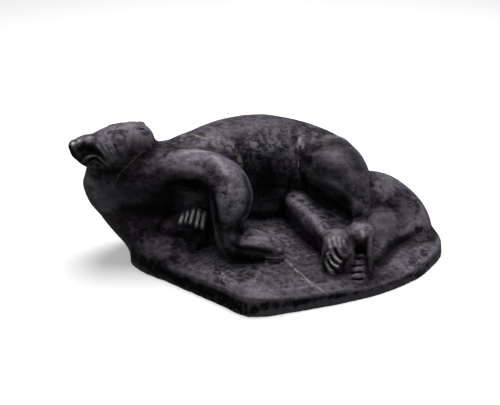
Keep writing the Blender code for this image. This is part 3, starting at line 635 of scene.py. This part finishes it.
class Chisel:
    """Makes fine cuts in the stone's skin, and remembers the marks of colour that belong on it."""

    def __init__(self, stone, pose):
        stone.normal_update()
        self.pose = pose
        self.stone = stone
        self.points = np.array([vertex.co for vertex in stone.verts])
        self.normals = np.array([vertex.normal for vertex in stone.verts])
        self.sinking = np.zeros(len(self.points))
        self.tree = BVHTree.FromBMesh(stone)
        self.marks = {"pale": [], "black": [], "painted_light": [], "tan": []}

    def lay(self, path):
        """A smooth line through the path, laid on the stone."""
        return np.array([self.tree.find_nearest(point)[0] for point in map(Vector, self.pose.line(path))])

    def cut(self, path, width, depth):
        """Sinks the stone along a path. A negative depth raises a ridge. Width and depth are in metres."""
        close, nearness = near_line(self.points, self.lay(path), width)
        self.sinking[close] += depth * nearness

    def mark(self, kind, path, width, strength):
        """Remembers a pale line, a black line of painted shade, a line of painted light or a tan vein along a
        path.
        """
        self.marks[kind].append((self.lay(path), width, strength))

    def finish(self):
        """Moves the stone's skin to where the cuts have taken it."""
        moved = self.points - self.normals * self.sinking[:, None]
        for vertex, point in zip(self.stone.verts, moved):
            vertex.co = point


# The width of a toe's pale mark, a painted highlight on its crest, as a share of the toe's radius, and how
# much further forward it is than gaps
TOE_MARK_WIDTH = 0.7
TOE_MARK_PROUD = 1.5


def cut_feet(chisel, sizes):
    """Cuts the gaps between the toes, and marks the gaps and the toes."""
    for toes, radius, forward, pale_toes, pale_gaps in FEET:
        rows = np.array(toes)
        proud = np.array(forward)
        for path in (rows[:-1] + rows[1:]) / 2 + proud:
            chisel.cut(path, sizes.claw_cut_width, sizes.claw_cut_depth)
            # Black marks in the gaps are painted shade; pale ones are scratched cuts
            chisel.mark("pale" if pale_gaps > 0 else "black", path, sizes.claw_cut_width, abs(pale_gaps))
        # A painted highlight along each toe's crest
        for path in rows + TOE_MARK_PROUD * proud:
            chisel.mark("pale", path, TOE_MARK_WIDTH * radius * chisel.pose.share, pale_toes)


def cut_body(chisel):
    """Cuts and marks the body and both sides of the head."""
    pose = chisel.pose
    cuts = [*BODY_CUTS, *PLANES]
    marks = [(kind, *mark) for kind, rows in BODY_MARKS.items() for mark in rows]
    for side in (1, -1):
        cuts += [(pose.on_head(path, side), *sizes) for path, *sizes in HEAD_CUTS + FINE_HEAD_CUTS]
        for kind, rows in HEAD_MARKS.items():
            marks += [(kind, pose.on_head(path, side), *sizes) for path, *sizes in rows]
    for path, width, depth in cuts:
        chisel.cut(path, width * pose.share, depth * pose.share)
    for kind, path, width, strength in marks:
        chisel.mark(kind, path, width * pose.share, strength)


# The finer waves of the handwork, as a share of its main waves
FINER_WAVES = 0.4

# The chips reach up to this share of the slab's edge height, fade over this share of it, and fade out where a
# side leans. Their noise has a roughness, a fineness of each next layer and a number of layers, and the side
# sinks by this share of their depth besides
CHIPS_TOP = 1.1
CHIPS_FADE = 0.3
CHIPS_LEAN = 0.4
CHIPS_NOISE = (0.9, 2.1, 4)
CHIPS_SINK = 0.6


def rub_by_hand(chisel, sizes):
    """Gives the polished skin the slight unevenness of handwork, and the slab's sawn sides a rougher one."""
    heart = chisel.pose.at(*SLAB_HEART, 0)
    finer_spacing = FINER_WAVES * sizes.handwork_spacing
    for index, (point, normal) in enumerate(zip(chisel.points, chisel.normals)):
        place = Vector(point)
        wander = noise.noise(place / sizes.handwork_spacing) + FINER_WAVES * noise.noise(place / finer_spacing)
        chisel.sinking[index] += sizes.handwork_depth * wander
        low = np.clip((CHIPS_TOP * sizes.edge_height - point[2]) / (CHIPS_FADE * sizes.edge_height), 0, 1)
        upright = np.clip((1 + CHIPS_LEAN) * (1 - abs(normal[2])) - CHIPS_LEAN, 0, 1)
        outward = (point[0] - heart.x) * normal[0] + (point[1] - heart.y) * normal[1] > 0
        if low > 0 and upright > 0 and outward:
            chips = noise.fractal(place / sizes.chip_spacing, *CHIPS_NOISE)
            chisel.sinking[index] += sizes.chip_depth * low * upright * (CHIPS_SINK + chips)


def settle(bm, low, high):
    """Fits the finished stone to the solid's box, which it already fills but for the facets' own error."""
    points = np.array([vertex.co for vertex in bm.verts])
    least, most = points.min(axis=0), points.max(axis=0)
    fitted = np.array(low) + (points - least) * (np.array(high) - np.array(low)) / (most - least)
    for vertex, point in zip(bm.verts, fitted):
        vertex.co = point


# The hollows are found by rubbing the skin this many times, and are full from this depth on, in metres
HOLLOW_RUBS = 30
HOLLOW_DEPTH = 0.0004

# Where the slab's top and its sides begin and where they are whole: by height in shares, by how far the top
# faces up, and by how upright a side is. The top gets darker by this much along these shares, towards the tail
TOP_ENDS = (25, 22)
SIDE_ENDS = (13.5, 11.5)
TOP_FACES_UP = (0.75, 0.95)
SIDE_UPRIGHT = (0.375, 1)
TAIL_BEGINS = (52, 74)
TAIL_DARKER = 0.8


def hollows(mesh, points, normals):
    """How far each vertex lies below (positive) or above the skin rubbed smooth round it, in metres."""
    ends = np.empty(len(mesh.edges) * 2, int)
    mesh.edges.foreach_get("vertices", ends)
    here, there = ends.reshape(-1, 2).T
    neighbours = np.bincount(ends, minlength=len(points))
    smooth = points.copy()
    for _ in range(HOLLOW_RUBS):
        total = np.empty_like(smooth)
        for axis in range(3):
            total[:, axis] = np.bincount(here, smooth[there, axis], len(points))
            total[:, axis] += np.bincount(there, smooth[here, axis], len(points))
        smooth = 0.5 * smooth + 0.5 * total / neighbours[:, None]
    return ((smooth - points) * normals).sum(axis=1)


def rising(values, low, high):
    """Goes evenly from 0 to 1 as the values go from low to high."""
    return np.clip((values - low) / (high - low), 0, 1)


def slab_parts(points, normals, pose):
    """How much each vertex belongs to the slab's top, which is painted lighter, and to its sawn sides, which
    are painted darker, from 0 to 1.
    """
    heights = (points[:, 2] - pose.lift) / pose.share
    to_tail = rising(points[:, 0] / pose.share + MIDDLE_SHARES[0], *TAIL_BEGINS)
    top = rising(normals[:, 2], *TOP_FACES_UP) * rising(heights, *TOP_ENDS) * (1 - TAIL_DARKER * to_tail)
    outward = ((points - np.array(pose.at(*SLAB_HEART, 0))) * normals)[:, :2].sum(axis=1) > 0
    side = rising(1 - abs(normals[:, 2]), *SIDE_UPRIGHT) * rising(heights, *SIDE_ENDS) * outward
    return top, side


def note(mesh, name, values):
    """Keeps one number for each vertex, for the finish to read."""
    mesh.attributes.new(name, "FLOAT", "POINT").data.foreach_set("value", values.astype(np.float32))


def note_marks(mesh, chisel):
    """Keeps on the mesh where its marks, its hollows and the parts of the slab are."""
    points, normals = np.empty((2, len(mesh.vertices) * 3))
    mesh.vertices.foreach_get("co", points)
    mesh.vertices.foreach_get("normal", normals)
    points, normals = points.reshape(-1, 3), normals.reshape(-1, 3)
    for kind, lines in chisel.marks.items():
        shown = np.zeros(len(points))
        for line, width, strength in lines:
            close, nearness = near_line(points, line, width)
            shown[close] = np.maximum(shown[close], strength * nearness)
        note(mesh, kind, shown)
    top, side = slab_parts(points, normals, chisel.pose)
    note(mesh, "slab_top", top)
    note(mesh, "slab_side", side)
    note(mesh, "hollow", np.clip(hollows(mesh, points, normals) / HOLLOW_DEPTH, -1, 1))


class Value:
    """A socket in a material's node tree, on which sums can be written as plain Python."""

    def __init__(self, finish, socket):
        self.finish = finish
        self.socket = socket

    def combine(self, operation, first, second):
        return self.finish.add("ShaderNodeMath", {"operation": operation}, {0: first, 1: second})

    def __add__(self, other):
        return self.combine("ADD", self, other)

    __radd__ = __add__

    def __sub__(self, other):
        return self.combine("SUBTRACT", self, other)

    def __rsub__(self, other):
        return self.combine("SUBTRACT", other, self)

    def __mul__(self, other):
        return self.combine("MULTIPLY", self, other)

    __rmul__ = __mul__

    def __abs__(self):
        return self.combine("ABSOLUTE", self, 0)


class Finish:
    """Builds a material's node tree."""

    def __init__(self, name):
        self.material = bpy.data.materials.new(name)
        self.material.use_nodes = True
        self.tree = self.material.node_tree
        self.shader = self.tree.nodes["Principled BSDF"]

    def plug(self, node, sockets):
        """Gives a node's sockets their values, or links them."""
        for name, value in sockets.items():
            if isinstance(value, Value):
                self.tree.links.new(value.socket, node.inputs[name])
            else:
                node.inputs[name].default_value = value

    def add(self, kind, settings, sockets, outlet=0):
        """Adds a node with its settings and its sockets' values or links, and returns one of its outlets."""
        node = self.tree.nodes.new(kind)
        for name, value in settings.items():
            setattr(node, name, value)
        self.plug(node, sockets)
        return Value(self, node.outputs[outlet])

    def ramp(self, value, low, high, floor=0, top=1):
        """Goes smoothly from floor to top as the value goes from low to high."""
        sockets = {"Value": value, "From Min": low, "From Max": high, "To Min": floor, "To Max": top}
        return self.add("ShaderNodeMapRange", {"interpolation_type": "SMOOTHSTEP"}, sockets)

    def mix(self, share, first, second):
        """A colour between two colours."""
        return self.add("ShaderNodeMix", {"data_type": "RGBA"}, {0: share, 6: first, 7: second}, 2)

    def marked(self, name):
        """A number that the mesh keeps for each vertex."""
        return self.add("ShaderNodeAttribute", {"attribute_name": name}, {}, 2)


# Veins, as (one end, other end, width, wander, how far it shows past its ends, strength), in shares. Each
# lies in a seam that runs down into the stone, away from the feet
SEAM = (0, 0.9, -0.44)

# A vein is whole within this share of its width, and up to this share of its reach
VEIN_CORE = 0.2
VEIN_WHOLE = 0.75

TAN_VEINS = (
    ((-60.7, -11, 76.1), (-75.4, -16.9, 64.5), 0.75, 2.6, 1.25, 0.85),
    ((-75.4, -16.9, 64.5), (-80.4, -18.8, 57), 0.75, 2, 1.3, 0.7),
    ((20, -34, 15.6), (33, -22, 16.6), 0.42, 3, 1.1, 0.3),
    ((-75.7, -20, 53), (-75.6, -18.6, 39.1), 0.45, 2, 1.2, 0.42),
    ((-3.9, -71.4, 10.9), (-3.9, -73.3, 1), 0.75, 1.3, 1.4, 0.49),
    ((20, 40, 70), (70, 52, 30), 0.6, 5.2, 1.1, 0.35),
    ((80, 50, 25), (108, 30, 16), 0.6, 3.9, 1.2, 0.35),
)
WHITE_VEINS = (
    ((-58.7, -6.3, 79.3), (-58, -9, 71), 0.38, 2, 1.3, 0.35),
    ((29.8, 13.3, 57), (30.7, 10.3, 42.2), 0.5, 2, 1.3, 0.45),
    ((19.5, -38.5, 17.5), (31.8, -53, 12.3), 0.6, 3, 1.2, 0.6),
    ((31.8, -53, 12.3), (45.7, -62.6, 6.7), 0.6, 2.4, 1.1, 0.7),
    ((24, -36, 15.4), (40, -30, 15.6), 0.8, 3, 1.1, 0.35),
    ((0, -3.6, 19), (15.2, -18.4, 18.5), 0.45, 3, 1.1, 0.35),
    ((15.2, -18.4, 18.5), (24, -36, 15.4), 0.6, 3.4, 1.2, 0.4),
    ((-17, -47.5, 13.4), (-12.5, -61, 11.6), 0.7, 3, 1.1, 0.6),
    ((-18, -48, 13.4), (2, -50, 14), 0.4, 3, 1.1, 0.3),
    ((-65.4, -14.6, 70), (-50.2, -12.8, 69.2), 0.3, 0.8, 1.2, 0.28),
    ((26, -68.3, 8.2), (28.4, -69, 2), 0.68, 1.3, 1.4, 0.42),
    ((111, 22.8, 22.1), (113.8, 9, 14.6), 0.6, 1.8, 1.3, 0.42),
    ((115.3, 9.1, 12.4), (93.4, -9.8, 10.4), 0.6, 2, 1.1, 0.2),
    ((11.2, 18.6, 72.5), (17.4, 13.8, 64.5), 0.38, 2.6, 1.4, 0.21),
    ((-40, 34, 62), (-10, 55, 30), 0.52, 5.2, 1.1, 0.28),
)

# Directions of the finest scratches, as (turn, lengths): long and thin along one way
SCRATCHES = (
    ((0.3, 0.2, 0.4), (9, 1, 1)),
    ((0.4, -0.4, -0.7), (8, 1, 1)),
    ((-0.4, 0.7, 1.5), (7, 1, 1)),
)

# The slab's sides show the strokes of a saw that went nearly straight down
SAWN = ((0, 0.25, 0.3), (1, 1, 6))

# Faint webs of white run through the whole stone, with meshes of these sizes
WEB_SIZES = (38, 23)


def vein(finish, pose, place, wander, settings):
    """One vein's strength over the stone, from 0 to 1."""
    *ends, width, wandering, reach, strength = settings
    start, end = (pose.at(*point) for point in ends)
    middle = (start + end) / 2
    half = (end - start).length / 2
    across = (end - start).cross(Vector(SEAM)).normalized()
    share = pose.share
    distance = finish.add("ShaderNodeVectorMath", {"operation": "DOT_PRODUCT"}, {0: place, 1: across}, 1)
    offset = distance + (wander - 0.5) * (2 * wandering * share) - middle.dot(across)
    line = finish.ramp(abs(offset), VEIN_CORE * width * share, width * share, 1, 0)
    apart = finish.add("ShaderNodeVectorMath", {"operation": "DISTANCE"}, {0: place, 1: middle}, 1)
    return line * finish.ramp(apart, VEIN_WHOLE * reach * half, reach * half, strength, 0)


def soapstone(pose, look):
    """Dark grey stone with a plum tint, tan and white veins, the pale marks of tools, and painted light and
    shade.
    """
    finish = Finish("soapstone")
    place = finish.add("ShaderNodeTexCoord", {}, {}, "Object")

    def cloud(size, detail, roughness=0.5, stretch=None):
        """Soft noise with features of this size, in shares, which can be stretched along one way."""
        spot = place
        if stretch:
            turn, lengths = stretch
            sockets = {"Vector": place, "Rotation": turn, "Scale": lengths}
            spot = finish.add("ShaderNodeMapping", {"vector_type": "TEXTURE"}, sockets)
        sockets = {"Vector": spot, "Scale": 1 / (size * pose.share), "Detail": detail, "Roughness": roughness}
        return finish.add("ShaderNodeTexNoise", {}, sockets)

    # The mottling of the stone, from its largest clouds to its finest grains
    clouds = cloud(26, 5)
    drifts = cloud(9, 4, 0.6)
    dapple = cloud(3.2, 4, 0.65)
    grains = cloud(1.2, 3, 0.7)
    patches = finish.ramp(cloud(20, 3), 0.4, 0.62, 0.2, 1)
    smears = sum(finish.ramp(cloud(3, 3, 0.6, stretch), 0.42, 0.6, 0, 0.33) for stretch in SCRATCHES)
    scratches = sum(finish.ramp(cloud(1.1, 2, 0.6, stretch), 0.56, 0.7, 0, 0.6) for stretch in SCRATCHES)
    scratches = scratches * patches
    blend = finish.ramp(0.25 * clouds + 0.3 * drifts + 0.25 * dapple + 0.2 * smears, 0.41, 0.58)
    sage = finish.ramp(cloud(14, 4, 0.6), 0.5, 0.62, 0, 0.7)
    plum = finish.ramp(cloud(34, 3), 0.42, 0.7, 0, 0.8)
    mottle = finish.ramp(0.25 * drifts + 0.35 * dapple + 0.25 * smears + 0.15 * grains, 0.41, 0.56)
    specks = finish.ramp(0.45 * dapple + 0.3 * grains + 0.25 * smears, 0.36, 0.58, 0.42, 0)
    strokes = cloud(1.6, 3, 0.6, SAWN)
    sawn = finish.ramp(0.2 * strokes + 0.3 * drifts + 0.4 * dapple + 0.1 * grains, 0.49, 0.58)

    # Veins wander from their straight lines and break off here and there
    wander = cloud(7, 5, 0.65)
    breaks = finish.ramp(0.6 * drifts + 0.4 * dapple, 0.38, 0.52, 0.1, 1)
    webs = sum(finish.ramp(abs(cloud(size, 5) - 0.5), 0.001, 0.006, 0.3, 0) for size in WEB_SIZES) * patches
    tan, white = (
        finish.ramp(sum((vein(finish, pose, place, wander, row) for row in veins), others) * breaks, 0, 1)
        for veins, others in ((TAN_VEINS, finish.marked("tan")), (WHITE_VEINS, webs))
    )

    # What the mesh keeps of the carver's marks, and of the painted light and shade
    kept = ("slab_top", "slab_side", "painted_light", "pale", "black", "hollow")
    slab_top, side, painted_light, pale, black, hollow = (finish.marked(name) for name in kept)
    painted_light = painted_light * (0.1 + 0.9 * mottle)
    # Painted shade, darkest in the deepest hollows
    hollow_shade = finish.ramp(hollow, 0.2, 1, 0, 0.5)
    wear = finish.ramp(0.8 * (dapple - 0.5) - hollow, 0.2, 0.9, 0, 0.6)

    # Each colour lies over those before it
    colour = finish.mix(blend, look.dark, look.light)
    for share, over in (
        (sage, look.sage),
        (plum, look.plum),
        # the slab's top: its own less polished grey, and painted light where it faces up
        (slab_top * (0.15 + 0.85 * mottle), look.slab_top),
        # painted light on the tops that catch it
        (painted_light, look.worn_and_lit),
        (0.5 * scratches, look.worn_and_lit),
        # painted shade on the slab's sides
        (0.8 * side, look.shadow),
        (tan, look.tan_vein),
        (white, look.white_vein),
        # painted shade in the hollows and along the black marks
        (finish.ramp(hollow_shade + black, 0, 1), look.shadow),
        (side * sawn * (1 - 0.85 * black), look.sawn),
        (wear * (1 - black), look.worn_and_lit),
        (specks * (1 - side), look.dark),
        # pale scratches, and the painted highlights and glints of the pale marks
        (pale * finish.ramp(grains, 0.3, 0.55, 0.55, 1), look.cut_and_highlight),
    ):
        colour = finish.mix(share, colour, over)

    roughness = look.roughness + 0.2 * (dapple - 0.5) + 0.2 * (scratches + pale + black) + 0.15 * painted_light
    height = 0.6 * drifts + 0.8 * dapple + 0.1 * grains - 0.25 * scratches + 0.6 * side * strokes
    relief = {"Strength": 0.7, "Distance": 0.35 * pose.share, "Height": height}
    bump = finish.add("ShaderNodeBump", {}, relief)
    polish = {"IOR": look.refraction, "Specular IOR Level": look.shine, "Specular Tint": look.shine_tint}
    finish.plug(finish.shader, {"Base Color": colour, "Roughness": roughness, "Normal": bump, **polish})
    return finish.material


def number_property(name, description, default, **kind):
    return FloatProperty(name=name, description=description, default=default, **kind)


def length_property(name, description, default):
    return number_property(name, description, default, unit="LENGTH")


def colour_property(name, description, default):
    kind = {"size": 4, "min": 0, "max": 1, "subtype": "COLOR"}
    return FloatVectorProperty(name=name, description=description, default=default, **kind)


class OtterSizes(bpy.types.PropertyGroup):
    length: length_property("Length", "From the nose to the far end of the slab", SOLID_HIGH.x - SOLID_LOW.x)
    edge_height: length_property("Slab edge", "Height of the slab's front corner", 0.012)
    claw_cut_width: length_property("Claw cut width", "Half width of the cuts between the toes", 0.0011)
    claw_cut_depth: length_property("Claw cut depth", "Depth of the cuts between the toes", 0.0012)
    coarse_grain: length_property("Coarse grain", "Fineness of the roughed-out stone", 0.00082)
    fine_grain: length_property("Fine grain", "Fineness of the finished skin", 0.0005)
    handwork_spacing: length_property("Handwork spacing", "Distance between the skin's slight waves", 0.009)
    handwork_depth: length_property("Handwork depth", "Depth of the skin's slight waves", 0.00016)
    chip_spacing: length_property("Chip size", "Size of the chips on the slab's sides", 0.006)
    chip_depth: length_property("Chip depth", "Depth of the chips on the slab's sides", 0.00035)
    facets: IntProperty(name="Facets", description="Most facets of the finished stone", default=190000)


class StoneLook(bpy.types.PropertyGroup):
    dark: colour_property("Dark stone", "The stone's darker clouds", (0.007, 0.006, 0.0082, 1))
    light: colour_property("Light stone", "The stone's lighter clouds", (0.062, 0.053, 0.07, 1))
    sage: colour_property("Sage stone", "The stone's greenish patches", (0.036, 0.039, 0.036, 1))
    plum: colour_property("Plum stone", "The stone's reddish patches", (0.05, 0.032, 0.044, 1))
    # Partly the top's own less polished grey, partly painted light on the upward-facing top
    slab_top: colour_property("Slab top", "The slab's less polished top", (0.064, 0.06, 0.074, 1))
    # Worn ridges and scratches, and the colour of the light painted on the tops
    worn_and_lit: colour_property("Worn and lit stone", "Tops and ridges that hands have rubbed", (0.22, 0.202, 0.238, 1))
    sawn: colour_property("Sawn stone", "The rough strokes on the slab's sides", (0.12, 0.115, 0.115, 1))
    # Painted shade for hollows, creases, undersides and the slab's sides
    shadow: colour_property("Painted shade", "Shade painted into hollows, undersides and the slab's sides", (0.003, 0.003, 0.003, 1))
    # Pale scratched cuts, and the painted highlights and glints
    cut_and_highlight: colour_property("Pale cuts and highlights", "Scratched cuts, and painted highlights and glints", (0.8, 0.78, 0.79, 1))
    tan_vein: colour_property("Tan veins", "The brownish veins", (0.25, 0.225, 0.19, 1))
    white_vein: colour_property("White veins", "The pale veins", (0.4, 0.38, 0.37, 1))
    roughness: number_property("Roughness", "Of the rubbed polish", 0.36, min=0, max=1, subtype="FACTOR")
    refraction: number_property("Refraction", "The polish's index of refraction", 1.5)
    shine: number_property("Shine", "Strength of the reflections", 0.08, min=0, max=1, subtype="FACTOR")
    shine_tint: colour_property("Shine tint", "Colour of the polish's reflections", (1, 0.92, 1, 1))


class StudioSettings(bpy.types.PropertyGroup):
    floor: colour_property("Floor", "The pale floor", (0.9, 0.9, 0.9, 1))
    floor_glow: number_property("Floor glow", "How much the floor lightens its shadows", 0.4)
    surround: number_property("Surround", "Brightness of the room", 0.13)
    top_light: number_property("Top light", "Power of the soft light above", 7.4, unit="POWER")
    back_light: number_property("Back light", "Power of the soft light behind", 0.3, unit="POWER")
    camera_elevation: number_property("Camera elevation", "Angle above the floor", 0.4538, subtype="ANGLE")
    camera_distance: length_property("Camera distance", "From the camera to its target", 0.56)
    camera_lens: number_property("Lens", "The camera's focal length in millimetres", 65)


# How far the forms are rubbed down into each other, in shares
BODY_RUB = 3.2
LEG_RUB = 1.6
FEATURE_RUB = 0.6

# Edges sharper than this, in degrees, stay crisp
SHARP_EDGE = 50

# The camera looks at this point of the pose
CAMERA_TARGET = (0, 0, 35)

# The soft lights, as (place, size), and how far the floor reaches each way, in metres
TOP_LIGHT = ((0.03, 0.19, 0.8), 0.65)
BACK_LIGHT = ((0.1, 0.95, 0.5), 1)
FLOOR_REACH = 12
FLOOR_ROUGHNESS = 0.9


class OTTER_OT_carve(bpy.types.Operator):
    """Carve the otter and its slab from one block of soapstone"""

    bl_idname = "otter.carve"
    bl_label = "Carve Otter"

    def execute(self, context):
        sizes = context.scene.otter_sizes
        pose = Pose(sizes)
        rough = fuse(pose.masses(), sizes.coarse_grain, BODY_RUB * pose.share)
        limbs = [pose.head_boulder(*form) for form in MUZZLE] + pose.legs()
        body = fuse([rough, pose.slab()] + limbs, sizes.coarse_grain, LEG_RUB * pose.share)
        stone = fuse([body, pose.slab()] + pose.features(), sizes.fine_grain, FEATURE_RUB * pose.share)
        chisel = Chisel(stone, pose)
        cut_feet(chisel, sizes)
        cut_body(chisel)
        rub_by_hand(chisel, sizes)
        chisel.finish()
        stone = thin(stone, sizes.facets)
        cut_underside(stone)
        settle(stone, SOLID_LOW, SOLID_HIGH)
        mesh = bpy.data.meshes.new("otter_stone")
        stone.to_mesh(mesh)
        stone.free()
        mesh.shade_smooth()
        mesh.set_sharp_from_angle(angle=math.radians(SHARP_EDGE))
        note_marks(mesh, chisel)
        mesh.materials.append(soapstone(pose, context.scene.stone_look))
        otter = linked("otter_stone", mesh)
        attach(otter, "root")
        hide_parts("otter")
        return {"FINISHED"}


def aim(thing, place, target):
    """Puts a light or the camera at a place, facing its target."""
    thing.location = place
    thing.rotation_euler = (target - Vector(place)).to_track_quat("-Z", "Y").to_euler()


def area_light(name, place, size, power, target):
    """A soft round light that faces its target."""
    data = bpy.data.lights.new(name, "AREA")
    data.shape = "DISK"
    data.size = size
    data.energy = power
    aim(linked(name, data), place, target)


class OTTER_OT_studio(bpy.types.Operator):
    """Set up the pale floor, the soft lights and the camera"""

    bl_idname = "otter.studio"
    bl_label = "Set Up Studio"

    def execute(self, context):
        scene = context.scene
        settings = scene.studio_settings
        pose = Pose(scene.otter_sizes)
        target = pose.at(*CAMERA_TARGET)

        mesh = bpy.data.meshes.new("floor")
        corners = [(x * FLOOR_REACH, y * FLOOR_REACH, 0) for x, y in ((-1, -1), (1, -1), (1, 1), (-1, 1))]
        mesh.from_pydata(corners, [], [(0, 1, 2, 3)])
        finish = Finish("floor")
        glow = {"Emission Color": settings.floor, "Emission Strength": settings.floor_glow}
        finish.plug(finish.shader, {"Base Color": settings.floor, "Roughness": FLOOR_ROUGHNESS, **glow})
        mesh.materials.append(finish.material)
        floor = linked("floor", mesh)
        # The stone neither mirrors the white floor nor is lit by it, so its sides stay dark
        floor.visible_glossy = False
        floor.visible_diffuse = False

        world = bpy.data.worlds.new("studio")
        world.use_nodes = True
        room = world.node_tree.nodes["Background"].inputs
        room["Color"].default_value = (1, 1, 1, 1)
        room["Strength"].default_value = settings.surround
        scene.world = world
        area_light("top_light", *TOP_LIGHT, settings.top_light, target)
        area_light("back_light", *BACK_LIGHT, settings.back_light, target)

        data = bpy.data.cameras.new("camera")
        data.lens = settings.camera_lens
        angle = settings.camera_elevation
        back = Vector((0, -math.cos(angle), math.sin(angle)))
        scene.camera = linked("camera", data)
        aim(scene.camera, target + back * settings.camera_distance, target)
        scene.view_settings.view_transform = "Standard"
        return {"FINISHED"}


class OTTER_PT_sidebar(bpy.types.Panel):
    """The otter's sizes, its finish and its studio"""

    bl_label = "Soapstone Otter"
    bl_idname = "OTTER_PT_sidebar"
    bl_space_type = "VIEW_3D"
    bl_region_type = "UI"
    bl_category = "Otter"

    def draw(self, context):
        scene = context.scene
        for settings, operator in (
            (scene.otter_sizes, OTTER_OT_carve),
            (scene.stone_look, None),
            (scene.studio_settings, OTTER_OT_studio),
        ):
            box = self.layout.box()
            for name in settings.__annotations__:
                box.prop(settings, name)
            if operator:
                box.operator(operator.bl_idname)


CLASSES = (OtterSizes, StoneLook, StudioSettings, OTTER_OT_carve, OTTER_OT_studio, OTTER_PT_sidebar)


def register():
    for made in CLASSES:
        bpy.utils.register_class(made)
    bpy.types.Scene.otter_sizes = PointerProperty(type=OtterSizes)
    bpy.types.Scene.stone_look = PointerProperty(type=StoneLook)
    bpy.types.Scene.studio_settings = PointerProperty(type=StudioSettings)


def unregister():
    del bpy.types.Scene.studio_settings
    del bpy.types.Scene.stone_look
    del bpy.types.Scene.otter_sizes
    for made in reversed(CLASSES):
        bpy.utils.unregister_class(made)


def main():
    register()
    bpy.ops.otter.carve()
    bpy.ops.otter.studio()


if __name__ == "__main__":
    main()
